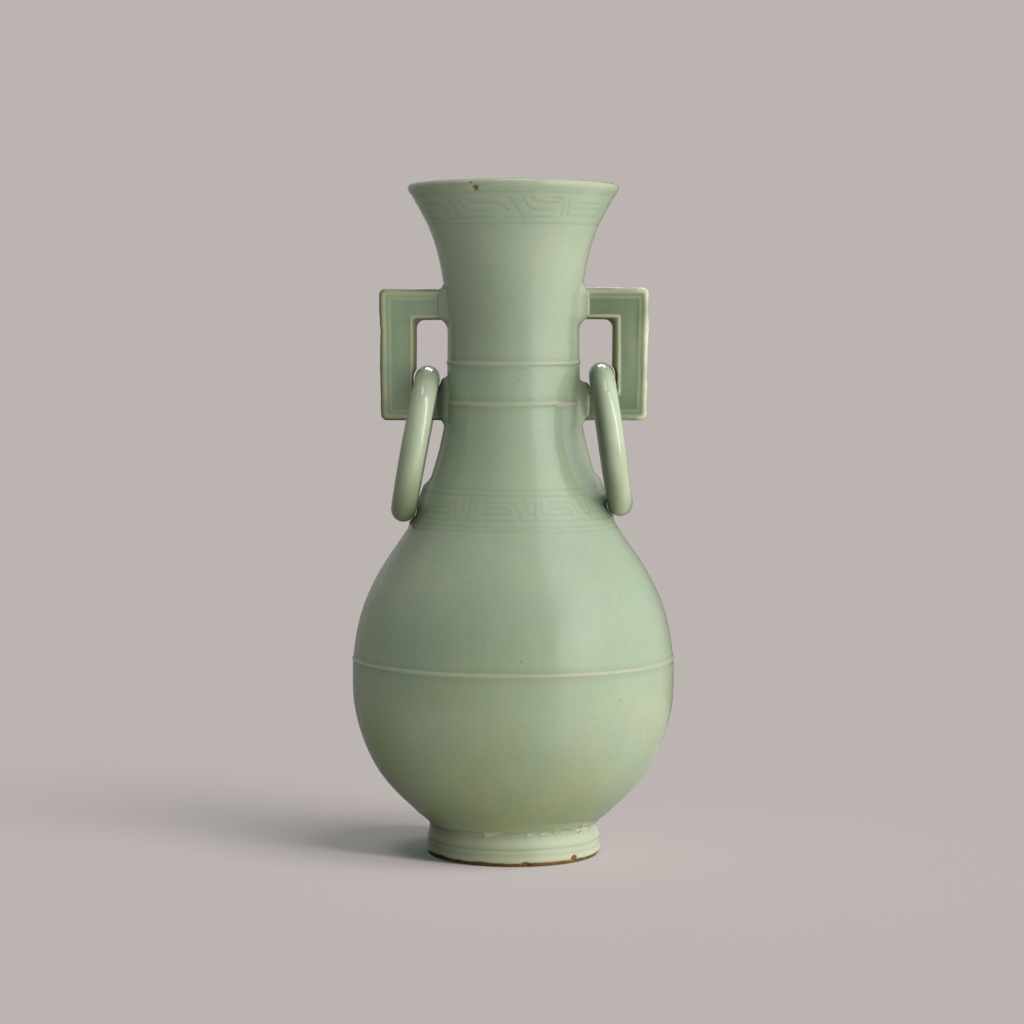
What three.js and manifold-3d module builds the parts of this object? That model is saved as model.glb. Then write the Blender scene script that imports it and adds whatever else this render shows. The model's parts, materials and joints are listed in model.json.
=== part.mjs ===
// Twin-handled celadon vase: a pear-shaped, wheel-thrown vessel on a turned foot,
// with a trumpet mouth, three raised bow-string ribs, two square bracket handles
// and a loose ring hanging from the lower arm of each handle.
// Millimetres, +Z up, origin at the centre of the foot's resting plane.
// +X points to the right-hand handle, -Y is the front.
import * as THREE from "three";
import { mergeVertices } from "three/addons/utils/BufferGeometryUtils.js";
import Module from "manifold-3d";

// ---------------------------------------------------------------- driving dimensions
const HEIGHT = 260; // foot to lip
const WALL = 4.5; // thickness of the thrown wall, square to its surface
const SEAM = 0.05; // luting seam between two thrown sections
const CLEAR = 0.3; // gap where one piece is shaped to another's curve
const TURNS = 40; // facets around the vase

// levels where the thrown sections are luted together
const FOOT_TOP_Z = 12.6;
const BELLY_SEAM_Z = 76.4;
const COLLAR_LOW_Z = 175.4;
const COLLAR_HIGH_Z = 190.8;

// foot: unglazed resting rim, hollow underneath
const FOOT_RIM_IN_R = 28.2;
const FOOT_RIM_OUT_R = 32.6;
const FOOT_LEDGE_R = 21.0; // hole that the base disc covers from above
const BASE_R = 27.75;
const BASE_TOP_Z = 17.0;

// raised ribs: [height of the crest, crest radius, half height of the bead]
const RIB_SEAT = 0.9; // depth of the groove that each bead is pressed into
const BELLY_RIB = [76.4, 62.75, 1.5];
const LOW_NECK_RIB = [175.4, 27.0, 1.5];
const HIGH_NECK_RIB = [190.8, 26.7, 1.4];

// bracket handles, each drawn in the XZ plane as a right-hand one
const HANDLE_DEPTH = 12; // along Y
const HANDLE_EDGE = 1.5; // softened edges
const ARM_END_X = 29.2; // where the arms stop, short of the neck
// the two are hand-cut and differ a little: faces of the upright, underside and top of each arm
const LEFT_BRACKET = {
  inX: 38.9,
  outTopX: 51.5,
  outLowX: 50.9,
  upperArmZ: [207.0, 219.0],
  lowerArmZ: [168.4, 179.0],
};
const RIGHT_BRACKET = {
  inX: 39.8,
  outTopX: 52.3,
  outLowX: 51.6,
  upperArmZ: [207.2, 219.6],
  lowerArmZ: [168.4, 180.1],
};
const CORNER_OUT_R = 2.2;
const CORNER_IN_R = 2.6;

// pads of clay that lute each arm to the neck
const LUG_FACE_X = 28.9;
const LUG_DEPTH = 14.0; // along Y
const LUG_OVER = 1.0; // how far a pad stands beyond the arm, above and below

// loose rings: cord radius, hanging point on the lower arm, lean against the shoulder
const CORD_R = 4.8;
const RING_LIFT = 0.95; // arm's top to the inside of the ring, at mid depth
// radius to the middle of the cord, its middle where it hangs over the arm, and
// how far the lower end stands outwards to rest on the shoulder
const LEFT_RING = { radius: 25.8, pivotX: 33.1, leanDeg: 10.5 };
const RIGHT_RING = { radius: 25.0, pivotX: 34.0, leanDeg: 8.6 };

// outer profile, [height, radius], from foot to lip
const FOOT_OUTER = [
  [0.9, 33.55],
  [2.2, 33.9],
  [4.6, 33.75],
  [8.0, 33.2],
  [10.6, 32.6],
  [12.6, 32.75],
];
const LOWER_OUTER = [
  [12.65, 32.95],
  [14.0, 34.1],
  [16.0, 36.6],
  [18.5, 39.3],
  [22.0, 43.05],
  [27.0, 47.88],
  [33.0, 52.46],
  [39.0, 55.77],
  [46.0, 58.67],
  [53.0, 60.68],
  [60.0, 61.95],
  [67.0, 62.3],
  [74.9, 62.2],
];
const UPPER_OUTER = [
  [77.9, 61.95],
  [83.0, 61.3],
  [91.0, 59.77],
  [99.0, 57.23],
  [107.0, 53.55],
  [115.0, 48.79],
  [123.0, 43.3],
  [131.0, 38.28],
  [139.0, 34.63],
  [147.0, 31.7],
  [155.0, 29.28],
  [163.0, 27.38],
  [168.5, 26.45],
  [173.9, 25.98],
];
const COLLAR_OUTER = [
  [176.9, 25.8],
  [182.0, 25.65],
  [189.4, 25.53],
];
const TRUMPET_OUTER = [
  [192.2, 25.47],
  [197.0, 25.4],
  [203.0, 25.4],
  [211.0, 25.8],
  [219.0, 26.65],
  [227.0, 27.97],
  [235.0, 29.85],
  [243.0, 32.74],
  [249.0, 35.69],
  [255.0, 38.85],
];
const LIP = [
  [255.6, 39.7],
  [257.0, 40.6],
  [258.4, 40.6],
  [259.5, 39.9],
  [HEIGHT, 38.6],
  [259.6, 37.2],
  [258.3, 36.1],
];

// ---------------------------------------------------------------- helpers
const wasm = await Module();
wasm.setup();

const glaze = (hex, roughness) =>
  new THREE.MeshStandardMaterial({ color: hex, roughness, metalness: 0 });
const CELADON = glaze(0x96a58c, 0.18);
const CELADON_PALE = glaze(0xa5ac92, 0.22);
const CELADON_TEAL = glaze(0x8aa08c, 0.18);

// Radius of a profile table at a height, straight between its points.
function radiusAt(table, z) {
  if (z <= table[0][0]) return table[0][1];
  for (let i = 1; i < table.length; i++) {
    const [z0, r0] = table[i - 1];
    const [z1, r1] = table[i];
    if (z <= z1) return r0 + ((r1 - r0) * (z - z0)) / (z1 - z0);
  }
  return table[table.length - 1][1];
}

// Inner wall of a thrown section: the outer profile set in by the wall.
function innerWall(table, heights) {
  return heights.map((z) => {
    const slope = (radiusAt(table, z + 2) - radiusAt(table, z - 2)) / 4;
    return [z, radiusAt(table, z) - WALL * Math.sqrt(1 + slope * slope)];
  });
}

// A body of revolution about +Z from a closed section, given counter-clockwise as [height, radius].
function turned(section) {
  const points = [...section, section[0]].map(
    ([z, r]) => new THREE.Vector2(r, z),
  );
  return new THREE.LatheGeometry(points, TURNS).rotateX(Math.PI / 2);
}

// A body of revolution whose section starts and ends on the axis.
function turnedSolid(section) {
  const points = section.map(([z, r]) => new THREE.Vector2(r, z));
  return new THREE.LatheGeometry(points, TURNS).rotateX(Math.PI / 2);
}

function toSolid(geometry) {
  const g = geometry.index ? geometry.toNonIndexed() : geometry.clone();
  g.deleteAttribute("normal");
  g.deleteAttribute("uv");
  const m = mergeVertices(g, 1e-3);
  const tri = [];
  const idx = m.index.array;
  for (let i = 0; i < idx.length; i += 3)
    if (
      idx[i] !== idx[i + 1] &&
      idx[i + 1] !== idx[i + 2] &&
      idx[i] !== idx[i + 2]
    )
      tri.push(idx[i], idx[i + 1], idx[i + 2]);
  return new wasm.Manifold(
    new wasm.Mesh({
      numProp: 3,
      vertProperties: new Float32Array(m.attributes.position.array),
      triVerts: new Uint32Array(tri),
    }),
  );
}

function toGeometry(solid) {
  const mesh = solid.getMesh();
  const n = mesh.numProp;
  const pos = new Float32Array((mesh.vertProperties.length / n) * 3);
  for (let i = 0; i < pos.length / 3; i++)
    for (let k = 0; k < 3; k++) pos[3 * i + k] = mesh.vertProperties[n * i + k];
  const g = new THREE.BufferGeometry();
  g.setAttribute("position", new THREE.BufferAttribute(pos, 3));
  g.setIndex(Array.from(mesh.triVerts));
  g.computeVertexNormals();
  return g;
}

const vase = new THREE.Group();
function add(name, geometry, material) {
  const mesh = new THREE.Mesh(geometry, material);
  mesh.name = name;
  vase.add(mesh);
  return mesh;
}

// ---------------------------------------------------------------- foot and base
add(
  "foot_ring",
  turned([
    [0, FOOT_RIM_IN_R],
    [0, FOOT_RIM_OUT_R],
    ...FOOT_OUTER,
    [FOOT_TOP_Z, FOOT_LEDGE_R],
    [9.4, FOOT_LEDGE_R],
    [8.6, 23.0],
    [6.6, 26.4],
    [1.0, 27.5],
  ]),
  CELADON_PALE,
);

// saucer-shaped disc that closes the bottom, dropped in from above
add(
  "base_disc",
  turnedSolid([
    [FOOT_TOP_Z + SEAM, 0],
    [FOOT_TOP_Z + SEAM, BASE_R],
    [16.2, BASE_R],
    [BASE_TOP_Z, BASE_R - 1.0],
    [BASE_TOP_Z - 0.6, 14],
    [BASE_TOP_Z - 0.8, 0],
  ]),
  CELADON,
);

// ---------------------------------------------------------------- thrown sections
const seatLow = (rib) => rib[0] - rib[2];
const seatHigh = (rib) => rib[0] + rib[2];
const seatR = (rib, table, z) => radiusAt(table, z) - RIB_SEAT;

const lowerSeatR = seatR(BELLY_RIB, LOWER_OUTER, 74.9);
add(
  "lower_body",
  turned([
    [LOWER_OUTER[0][0], BASE_R + CLEAR],
    ...LOWER_OUTER.slice(0, -1),
    [seatLow(BELLY_RIB), radiusAt(LOWER_OUTER, seatLow(BELLY_RIB))],
    [seatLow(BELLY_RIB), lowerSeatR],
    [BELLY_SEAM_Z, lowerSeatR],
    ...innerWall(
      LOWER_OUTER,
      [BELLY_SEAM_Z, 67, 60, 53, 46, 39, 33, 27, 22.5, 19.5],
    ),
    [17.6, BASE_R + CLEAR],
  ]),
  CELADON,
);

const collarSeatR = seatR(LOW_NECK_RIB, COLLAR_OUTER, 176.9);
add(
  "upper_body",
  turned([
    ...innerWall(UPPER_OUTER, [BELLY_SEAM_Z + SEAM]),
    [BELLY_SEAM_Z + SEAM, lowerSeatR],
    [seatHigh(BELLY_RIB), lowerSeatR],
    ...UPPER_OUTER,
    [seatLow(LOW_NECK_RIB), collarSeatR],
    [COLLAR_LOW_Z, collarSeatR],
    ...innerWall(
      UPPER_OUTER,
      [
        COLLAR_LOW_Z, 168.5, 163, 155, 147, 139, 131, 123, 115, 107, 99, 91, 83,
      ],
    ),
  ]),
  CELADON,
);

const mouthSeatR = seatR(HIGH_NECK_RIB, TRUMPET_OUTER, 192.2);
add(
  "neck_collar",
  turned([
    ...innerWall(COLLAR_OUTER, [COLLAR_LOW_Z + SEAM]),
    [COLLAR_LOW_Z + SEAM, collarSeatR],
    [seatHigh(LOW_NECK_RIB), collarSeatR],
    ...COLLAR_OUTER,
    [seatLow(HIGH_NECK_RIB), mouthSeatR],
    [COLLAR_HIGH_Z, mouthSeatR],
    ...innerWall(COLLAR_OUTER, [COLLAR_HIGH_Z, 182]),
  ]),
  CELADON,
);

add(
  "trumpet_neck",
  turned([
    ...innerWall(TRUMPET_OUTER, [COLLAR_HIGH_Z + SEAM]),
    [COLLAR_HIGH_Z + SEAM, mouthSeatR],
    [seatHigh(HIGH_NECK_RIB), mouthSeatR],
    ...TRUMPET_OUTER,
    ...LIP,
    ...innerWall(
      TRUMPET_OUTER,
      [251, 246, 240, 235, 227, 219, 211, 203, 197],
    ),
  ]),
  CELADON,
);

// ---------------------------------------------------------------- raised ribs
function bead(rib, seat) {
  const [z, crest, half] = rib;
  const inner = seat + SEAM;
  const foot = seat + RIB_SEAT + 0.05;
  const side = half - SEAM;
  return turned([
    [z - side, inner],
    [z - side, foot],
    [z - 0.55 * side, crest - 0.15],
    [z, crest],
    [z + 0.55 * side, crest - 0.15],
    [z + side, foot - 0.1],
    [z + side, inner],
  ]);
}
add("belly_rib", bead(BELLY_RIB, lowerSeatR), CELADON_PALE);
add("lower_neck_rib", bead(LOW_NECK_RIB, collarSeatR), CELADON_PALE);
add("upper_neck_rib", bead(HIGH_NECK_RIB, mouthSeatR), CELADON_PALE);

// ---------------------------------------------------------------- bracket handles
function bracketShape({ inX, outTopX, outLowX, upperArmZ, lowerArmZ }) {
  const s = new THREE.Shape();
  const [uLow, uHigh] = upperArmZ;
  const [lLow, lHigh] = lowerArmZ;
  const ro = CORNER_OUT_R;
  const ri = CORNER_IN_R;
  const inside = ARM_END_X - 6; // cut back to ARM_END_X below
  s.moveTo(inside, uHigh);
  s.lineTo(outTopX - ro, uHigh);
  s.quadraticCurveTo(outTopX, uHigh, outTopX, uHigh - ro);
  s.lineTo(outLowX, lLow + ro);
  s.quadraticCurveTo(outLowX, lLow, outLowX - ro, lLow);
  s.lineTo(inside, lLow);
  s.lineTo(inside, lHigh);
  s.lineTo(inX - ri, lHigh);
  s.quadraticCurveTo(inX, lHigh, inX, lHigh + ri);
  s.lineTo(inX, uLow - ri);
  s.quadraticCurveTo(inX, uLow, inX - ri, uLow);
  s.lineTo(inside, uLow);
  s.closePath();
  return s;
}

function bracket(size) {
  const raw = new THREE.ExtrudeGeometry(bracketShape(size), {
    depth: HANDLE_DEPTH - 2 * HANDLE_EDGE,
    bevelEnabled: true,
    bevelThickness: HANDLE_EDGE,
    bevelSize: HANDLE_EDGE,
    bevelOffset: -HANDLE_EDGE,
    bevelSegments: 2,
    curveSegments: 3,
  });
  raw.translate(0, 0, -(HANDLE_DEPTH - 2 * HANDLE_EDGE) / 2);
  raw.rotateX(Math.PI / 2);
  const trim = new THREE.BoxGeometry(40, 40, 120);
  trim.translate(ARM_END_X - 20, 0, 193);
  return toGeometry(toSolid(raw).subtract(toSolid(trim)));
}

// the neck with its ribs, grown by the fitting gap, that the luting pads are shaped to
const neckProfile = [
  ...UPPER_OUTER.slice(8),
  [seatLow(LOW_NECK_RIB) - 0.2, LOW_NECK_RIB[1]],
  [seatHigh(LOW_NECK_RIB) + 0.2, LOW_NECK_RIB[1]],
  ...COLLAR_OUTER,
  [seatLow(HIGH_NECK_RIB) - 0.2, HIGH_NECK_RIB[1]],
  [seatHigh(HIGH_NECK_RIB) + 0.2, HIGH_NECK_RIB[1]],
  ...TRUMPET_OUTER.slice(1, 8),
].map(([z, r]) => [z, r + CLEAR]);
const neckForm = toSolid(
  turnedSolid([
    [neckProfile[0][0], 0],
    ...neckProfile,
    [neckProfile[neckProfile.length - 1][0], 0],
  ]),
);

function lug([zLow, zHigh]) {
  const b = 1.2;
  const hz = (zHigh - zLow) / 2 + LUG_OVER;
  const hy = LUG_DEPTH / 2;
  const c = 3.0;
  const s = new THREE.Shape();
  s.moveTo(-hy + c, -hz);
  s.lineTo(hy - c, -hz);
  s.quadraticCurveTo(hy, -hz, hy, -hz + c);
  s.lineTo(hy, hz - c);
  s.quadraticCurveTo(hy, hz, hy - c, hz);
  s.lineTo(-hy + c, hz);
  s.quadraticCurveTo(-hy, hz, -hy, hz - c);
  s.lineTo(-hy, -hz + c);
  s.quadraticCurveTo(-hy, -hz, -hy + c, -hz);
  const raw = new THREE.ExtrudeGeometry(s, {
    depth: 8,
    bevelEnabled: true,
    bevelThickness: b,
    bevelSize: b,
    bevelOffset: -b,
    bevelSegments: 2,
    curveSegments: 3,
  });
  // local X -> Y, local Y -> Z, local Z -> X
  raw.applyMatrix4(
    new THREE.Matrix4().set(0, 0, 1, 0, 1, 0, 0, 0, 0, 1, 0, 0, 0, 0, 0, 1),
  );
  raw.translate(LUG_FACE_X - 8 - b, 0, (zLow + zHigh) / 2);
  return toGeometry(toSolid(raw).subtract(neckForm));
}

for (const [side, size, turn] of [
  ["right", RIGHT_BRACKET, 0],
  ["left", LEFT_BRACKET, Math.PI],
]) {
  add(side + "_handle", bracket(size).rotateZ(turn), CELADON_TEAL);
  add(side + "_upper_lug", lug(size.upperArmZ).rotateZ(turn), CELADON);
  add(side + "_lower_lug", lug(size.lowerArmZ).rotateZ(turn), CELADON);
}

// ---------------------------------------------------------------- loose rings
// Each ring hangs over the lower arm at the middle of its cord and leans on the shoulder.
function looseRing(name, side, { radius, pivotX, leanDeg }, armTop) {
  const hang = new THREE.Group();
  hang.position.set(side * pivotX, 0, armTop + RING_LIFT + CORD_R);
  hang.rotation.y = -side * THREE.MathUtils.degToRad(leanDeg);
  const torus = new THREE.TorusGeometry(radius, CORD_R, 12, 36);
  torus.rotateY(Math.PI / 2); // the ring stands in the YZ plane
  torus.rotateX(Math.PI / 2);
  const mesh = new THREE.Mesh(torus, CELADON);
  mesh.name = name;
  mesh.position.set(0, 0, -radius);
  hang.add(mesh);
  vase.add(hang);
}
looseRing("left_ring", -1, LEFT_RING, LEFT_BRACKET.lowerArmZ[1]);
looseRing("right_ring", 1, RIGHT_RING, RIGHT_BRACKET.lowerArmZ[1]);

export default vase;
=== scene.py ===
"""Looks of the twin-handled celadon vase: glazed, hand-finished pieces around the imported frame."""

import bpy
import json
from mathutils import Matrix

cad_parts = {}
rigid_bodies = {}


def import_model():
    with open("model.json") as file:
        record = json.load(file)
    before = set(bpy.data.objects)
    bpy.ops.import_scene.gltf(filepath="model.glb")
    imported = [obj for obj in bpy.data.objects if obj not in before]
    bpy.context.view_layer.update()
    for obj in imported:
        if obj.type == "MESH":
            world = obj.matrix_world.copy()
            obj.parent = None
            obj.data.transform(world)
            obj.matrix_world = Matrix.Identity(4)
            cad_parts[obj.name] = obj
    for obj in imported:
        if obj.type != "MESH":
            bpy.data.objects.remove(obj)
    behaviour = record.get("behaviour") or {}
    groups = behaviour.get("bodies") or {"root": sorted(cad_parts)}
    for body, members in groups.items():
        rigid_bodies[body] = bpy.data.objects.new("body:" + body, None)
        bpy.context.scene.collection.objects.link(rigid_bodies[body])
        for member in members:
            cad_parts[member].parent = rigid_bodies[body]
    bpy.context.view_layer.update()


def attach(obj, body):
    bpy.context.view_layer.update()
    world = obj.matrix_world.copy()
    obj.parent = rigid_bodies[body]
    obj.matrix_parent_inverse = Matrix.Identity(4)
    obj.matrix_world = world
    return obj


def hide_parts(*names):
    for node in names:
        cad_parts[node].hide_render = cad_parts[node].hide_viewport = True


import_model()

import json
import math

import bpy
import numpy as np

# ------------------------------------------------------------------ sizes, in millimetres
FOOT_TOP_Z = 12.6
BELLY_SEAM_Z = 76.4
COLLAR_LOW_Z = 175.4
COLLAR_HIGH_Z = 190.8
SEAM = 0.05
WALL = 4.5
BASE_R = 27.75

FOOT_OUTER = [(0.9, 33.55), (2.2, 33.9), (4.6, 33.75), (8.0, 33.2), (10.6, 32.6), (12.6, 32.75)]
BODY_OUTER = [
    (12.65, 32.95), (14.0, 34.1), (16.0, 36.6), (18.5, 39.3), (22.0, 43.05), (27.0, 47.88),
    (33.0, 52.46), (39.0, 55.77), (46.0, 58.67), (53.0, 60.68), (60.0, 61.95), (67.0, 62.3),
    (74.9, 62.2), (77.9, 61.95), (83.0, 61.3), (91.0, 59.77), (99.0, 57.23), (107.0, 53.55),
    (115.0, 48.79), (123.0, 43.3), (131.0, 38.28), (139.0, 34.63), (147.0, 31.7), (155.0, 29.28),
    (163.0, 27.38), (168.5, 26.45), (173.9, 25.98), (176.9, 25.8), (182.0, 25.65), (189.4, 25.53),
    (192.2, 25.47), (197.0, 25.4), (203.0, 25.4), (211.0, 25.8), (219.0, 26.65), (227.0, 27.97),
    (235.0, 29.85), (243.0, 32.74), (249.0, 35.69), (255.0, 38.85),
]
LIP = [
    (255.0, 38.85), (255.5, 39.17), (256.2, 39.68), (257.0, 40.22), (257.8, 40.55), (258.6, 40.52),
    (259.35, 40.1), (259.8, 39.35), (259.97, 38.5), (259.8, 37.6), (259.2, 36.75), (258.2, 36.0),
    (256.6, 34.95), (254.5, 33.7), (251.0, 31.66),
]
MOUTH_DIP = 0.6
# handles: faces of the upright, underside and top of each arm
LEFT_BRACKET = dict(inX=38.9, ridge=1.0, outTop=51.5, outLow=50.9, upper=(207.0, 219.0), lower=(168.4, 179.0))
RIGHT_BRACKET = dict(inX=39.8, ridge=0.65, outTop=52.3, outLow=51.6, upper=(207.2, 219.6), lower=(168.4, 180.1))
# rings: radius to the middle of the cord, hanging point, lean
LEFT_RING = dict(side=-1, radius=25.8, x=33.1, z=184.75, lean=10.38, cord=4.86)
RIGHT_RING = dict(side=1, radius=25.0, x=34.0, z=185.85, lean=8.35, cord=4.96)

# per-point attributes: glaze run thin, glaze pooled, bare clay, and dark for painted shade
ATTRS = ("thin", "pool", "bare", "dark")


# ------------------------------------------------------------------ small mathematics
def spline(points):
    """Natural cubic through (x, y) points: f(q) gives value and slope."""
    x = np.array([p[0] for p in points], float)
    y = np.array([p[1] for p in points], float)
    n, h = len(x), np.diff(np.array([p[0] for p in points], float))
    a, b = np.zeros((n, n)), np.zeros(n)
    a[0, 0] = a[-1, -1] = 1
    for i in range(1, n - 1):
        a[i, i - 1 : i + 2] = h[i - 1], 2 * (h[i - 1] + h[i]), h[i]
        b[i] = 6 * ((y[i + 1] - y[i]) / h[i] - (y[i] - y[i - 1]) / h[i - 1])
    m = np.linalg.solve(a, b)

    def f(q):
        q = np.asarray(q, float)
        k = np.clip(np.searchsorted(x, q) - 1, 0, n - 2)
        u, v, w = (x[k + 1] - q) / h[k], (q - x[k]) / h[k], h[k]
        value = u * y[k] + v * y[k + 1] + ((u**3 - u) * m[k] + (v**3 - v) * m[k + 1]) * w**2 / 6
        slope = (y[k + 1] - y[k]) / w + ((3 * v**2 - 1) * m[k + 1] - (3 * u**2 - 1) * m[k]) * w / 6
        return value, slope

    return f


def smooth(a, b, q):
    t = np.clip((np.asarray(q, float) - a) / (b - a), 0, 1)
    return t * t * (3 - 2 * t)


def bell(q, centre, width):
    return np.exp(-(((np.asarray(q, float) - centre) / width) ** 2))


def waves(seed, count, turns, per_mm):
    """A smooth wavering field of azimuth and height, about -1 to 1, that closes around the vase."""
    rng = np.random.default_rng(seed)
    m = rng.integers(-turns, turns + 1, count)
    k = rng.uniform(-per_mm, per_mm, count)
    a = rng.uniform(0.4, 1.0, count)
    p = rng.uniform(0, 2 * np.pi, count)

    def f(phi, z):
        phi, z = np.broadcast_arrays(np.asarray(phi, float), np.asarray(z, float))
        out = np.zeros(phi.shape)
        for i in range(count):
            out += a[i] * np.cos(m[i] * phi + k[i] * z + p[i])
        return out / (0.55 * np.sqrt((a**2).sum()) * 2.4)

    return f


def drift(seed, count, per_mm):
    """A smooth wavering field of place, three numbers about -1 to 1."""
    rng = np.random.default_rng(seed)
    k = rng.normal(0, per_mm, (count, 3))
    p = rng.uniform(0, 2 * np.pi, (count, 3))

    def f(co):
        arg = co @ k.T
        return np.stack([np.cos(arg + p[:, i]).sum(1) for i in range(3)], 1) / np.sqrt(count)

    return f


outline = spline(BODY_OUTER)
foot_line = spline(FOOT_OUTER)
unround = waves(11, 5, 3, 0.02)  # the potter's small errors of roundness
throwing = waves(12, 7, 4, 0.5)  # faint throwing rings
glaze_run = waves(13, 10, 46, 0.9)
edge_run = waves(14, 9, 30, 0.25)


def body(z):
    r, s = outline(z)
    return float(r), float(s)


def azimuths(n):
    """n azimuths from the front, towards the right."""
    return np.arange(n) * (2 * np.pi / n)


def skin_error(phi, z):
    return 0.05 * unround(phi, z) + 0.010 * throwing(phi, z)


# ------------------------------------------------------------------ mesh making
vase_set = bpy.data.collections.new("Vase")
bpy.context.scene.collection.children.link(vase_set)


def volume(co, faces):
    total = 0.0
    for f in faces:
        p = co[f]
        for i in range(1, f.shape[1] - 1):
            total += np.einsum("ij,ij->i", p[:, 0], np.cross(p[:, i], p[:, i + 1])).sum() / 6
    return total


def make(name, co, quads, tris, attrs, uv, body_name, nodes, slot, material, caps=(), crease=50):
    """A finished piece from points in millimetres."""
    quads = np.asarray(quads, int).reshape(-1, 4)
    tris = np.asarray(tris, int).reshape(-1, 3)
    parts = [f for f in (quads, tris) if len(f)]
    flip = volume(co, parts) < 0
    faces = [f[::-1] if flip else f for f in quads.tolist() + tris.tolist()]
    faces += [list(c)[::-1] if flip else list(c) for c in caps]
    mesh = bpy.data.meshes.new(name)
    mesh.from_pydata((co * 0.001).tolist(), [], faces)
    for key in ATTRS:
        layer = mesh.attributes.new(key, "FLOAT", "POINT")
        layer.data.foreach_set("value", np.asarray(attrs.get(key, np.zeros(len(co))), np.float32))
    if uv is not None:
        flat = []
        for u in uv:
            if len(u):
                flat.append((u[:, ::-1] if flip else u).reshape(-1, 2))
        flat.append(np.zeros((sum(len(c) for c in caps), 2)))
        layer = mesh.uv_layers.new(name="OFBake")
        layer.data.foreach_set("uv", np.concatenate(flat).astype(np.float32).ravel())
    mesh.polygons.foreach_set("use_smooth", [True] * len(mesh.polygons))
    mesh.set_sharp_from_angle(angle=math.radians(crease))
    mesh.materials.append(material)
    mesh.update()
    piece = bpy.data.objects.new(name, mesh)
    vase_set.objects.link(piece)
    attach(piece, body_name)
    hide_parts(*nodes)
    return piece


def plain(z, r, n=180, **values):
    """One circle of a turned section."""
    return dict(n=n, z=np.full(n, float(z)), r=np.full(n, float(r)), **values)


def turned(rows, closed=True):
    """Points, faces, attributes and map of a turned section given as circles, counter-clockwise."""
    starts = np.concatenate([[0], np.cumsum([row["n"] for row in rows])])
    co = np.zeros((starts[-1], 3))
    attrs = {k: np.zeros(starts[-1]) for k in ATTRS}
    for row, s in zip(rows, starts):
        p, e = azimuths(row["n"]), s + row["n"]
        co[s:e] = np.stack([row["r"] * np.sin(p), -row["r"] * np.cos(p), row["z"]], 1)
        for k in ATTRS:
            attrs[k][s:e] = row.get(k, 0.0)
    steps = [0.0]
    count = len(rows) if closed else len(rows) - 1
    for i in range(count):
        a, b = rows[i], rows[(i + 1) % len(rows)]
        steps.append(steps[-1] + math.hypot(a["z"].mean() - b["z"].mean(), a["r"].mean() - b["r"].mean()) + 0.02)
    v = np.array(steps) / steps[-1] * 0.996 + 0.002
    quads, tris, quad_uv, tri_uv = [], [], [], []
    for i in range(count):
        k = (i + 1) % len(rows)
        na, nb, sa, sb = rows[i]["n"], rows[k]["n"], starts[i], starts[k]
        va, vb = v[i], v[i + 1]
        if na == nb:
            j = np.arange(na)
            j2 = (j + 1) % na
            quads.append(np.stack([sa + j, sa + j2, sb + j2, sb + j], 1))
            u0, u1 = j / na, (j + 1) / na
            quad_uv.append(np.stack([np.stack([u0, 0 * u0 + va], 1), np.stack([u1, 0 * u0 + va], 1),
                                     np.stack([u1, 0 * u0 + vb], 1), np.stack([u0, 0 * u0 + vb], 1)], 1))
            continue
        if 1 in (na, nb):
            n = max(na, nb)
            j = np.arange(n)
            j2 = (j + 1) % n
            u0, u1 = j / n, (j + 1) / n
            mid = (u0 + u1) / 2
            if nb == 1:
                tris.append(np.stack([sa + j, sa + j2, sb + 0 * j], 1))
                tri_uv.append(np.stack([np.stack([u0, 0 * mid + va], 1), np.stack([u1, 0 * mid + va], 1), np.stack([mid, 0 * mid + vb], 1)], 1))
            else:
                tris.append(np.stack([sa + 0 * j, sb + j2, sb + j], 1))
                tri_uv.append(np.stack([np.stack([mid, 0 * mid + va], 1), np.stack([u1, 0 * mid + vb], 1), np.stack([u0, 0 * mid + vb], 1)], 1))
            continue
        if nb == 3 * na:
            j = np.arange(na)
            ia = [(j, 0), (j + 1, 0)]
            ib = [(3 * j + q, 1) for q in range(4)]
            for tri in ((ia[0], ib[1], ib[0]), (ia[0], ia[1], ib[1]), (ia[1], ib[2], ib[1]), (ia[1], ib[3], ib[2])):
                tris.append(np.stack([(sa + q % na) if w == 0 else (sb + q % nb) for q, w in tri], 1))
                tri_uv.append(np.stack([np.stack([q / (na if w == 0 else nb), 0 * q + (va if w == 0 else vb)], 1) for q, w in tri], 1))
        elif na == 3 * nb:
            j = np.arange(nb)
            ib = [(j, 1), (j + 1, 1)]
            ia = [(3 * j + q, 0) for q in range(4)]
            for tri in ((ia[0], ia[1], ib[0]), (ia[1], ib[1], ib[0]), (ia[1], ia[2], ib[1]), (ia[2], ia[3], ib[1])):
                tris.append(np.stack([(sa + q % na) if w == 0 else (sb + q % nb) for q, w in tri], 1))
                tri_uv.append(np.stack([np.stack([q / (na if w == 0 else nb), 0 * q + (va if w == 0 else vb)], 1) for q, w in tri], 1))
        else:
            raise ValueError(f"circles of {na} and {nb} points can't be joined")
    cat = lambda x, w: np.concatenate(x) if x else np.zeros((0,) + w)
    return co, cat(quads, (4,)), cat(tris, (3,)), attrs, (cat(quad_uv, (4, 2)), cat(tri_uv, (3, 2)))


# ------------------------------------------------------------------ incised key-fret bands
def round_corners(points, radius):
    """A line with its corners rounded."""
    points = [np.array(p, float) for p in points]
    out = [points[0]]
    for a, b, c in zip(points, points[1:], points[2:]):
        u, v = a - b, c - b
        lu, lv = np.linalg.norm(u), np.linalg.norm(v)
        q = min(radius, lu * 0.45, lv * 0.45)
        p, s = b + u / lu * q, b + v / lv * q
        for t in np.linspace(0, 1, 6):
            out.append((1 - t) ** 2 * p + 2 * t * (1 - t) * b + t**2 * s)
    out.append(points[-1])
    return np.array(out)


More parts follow.
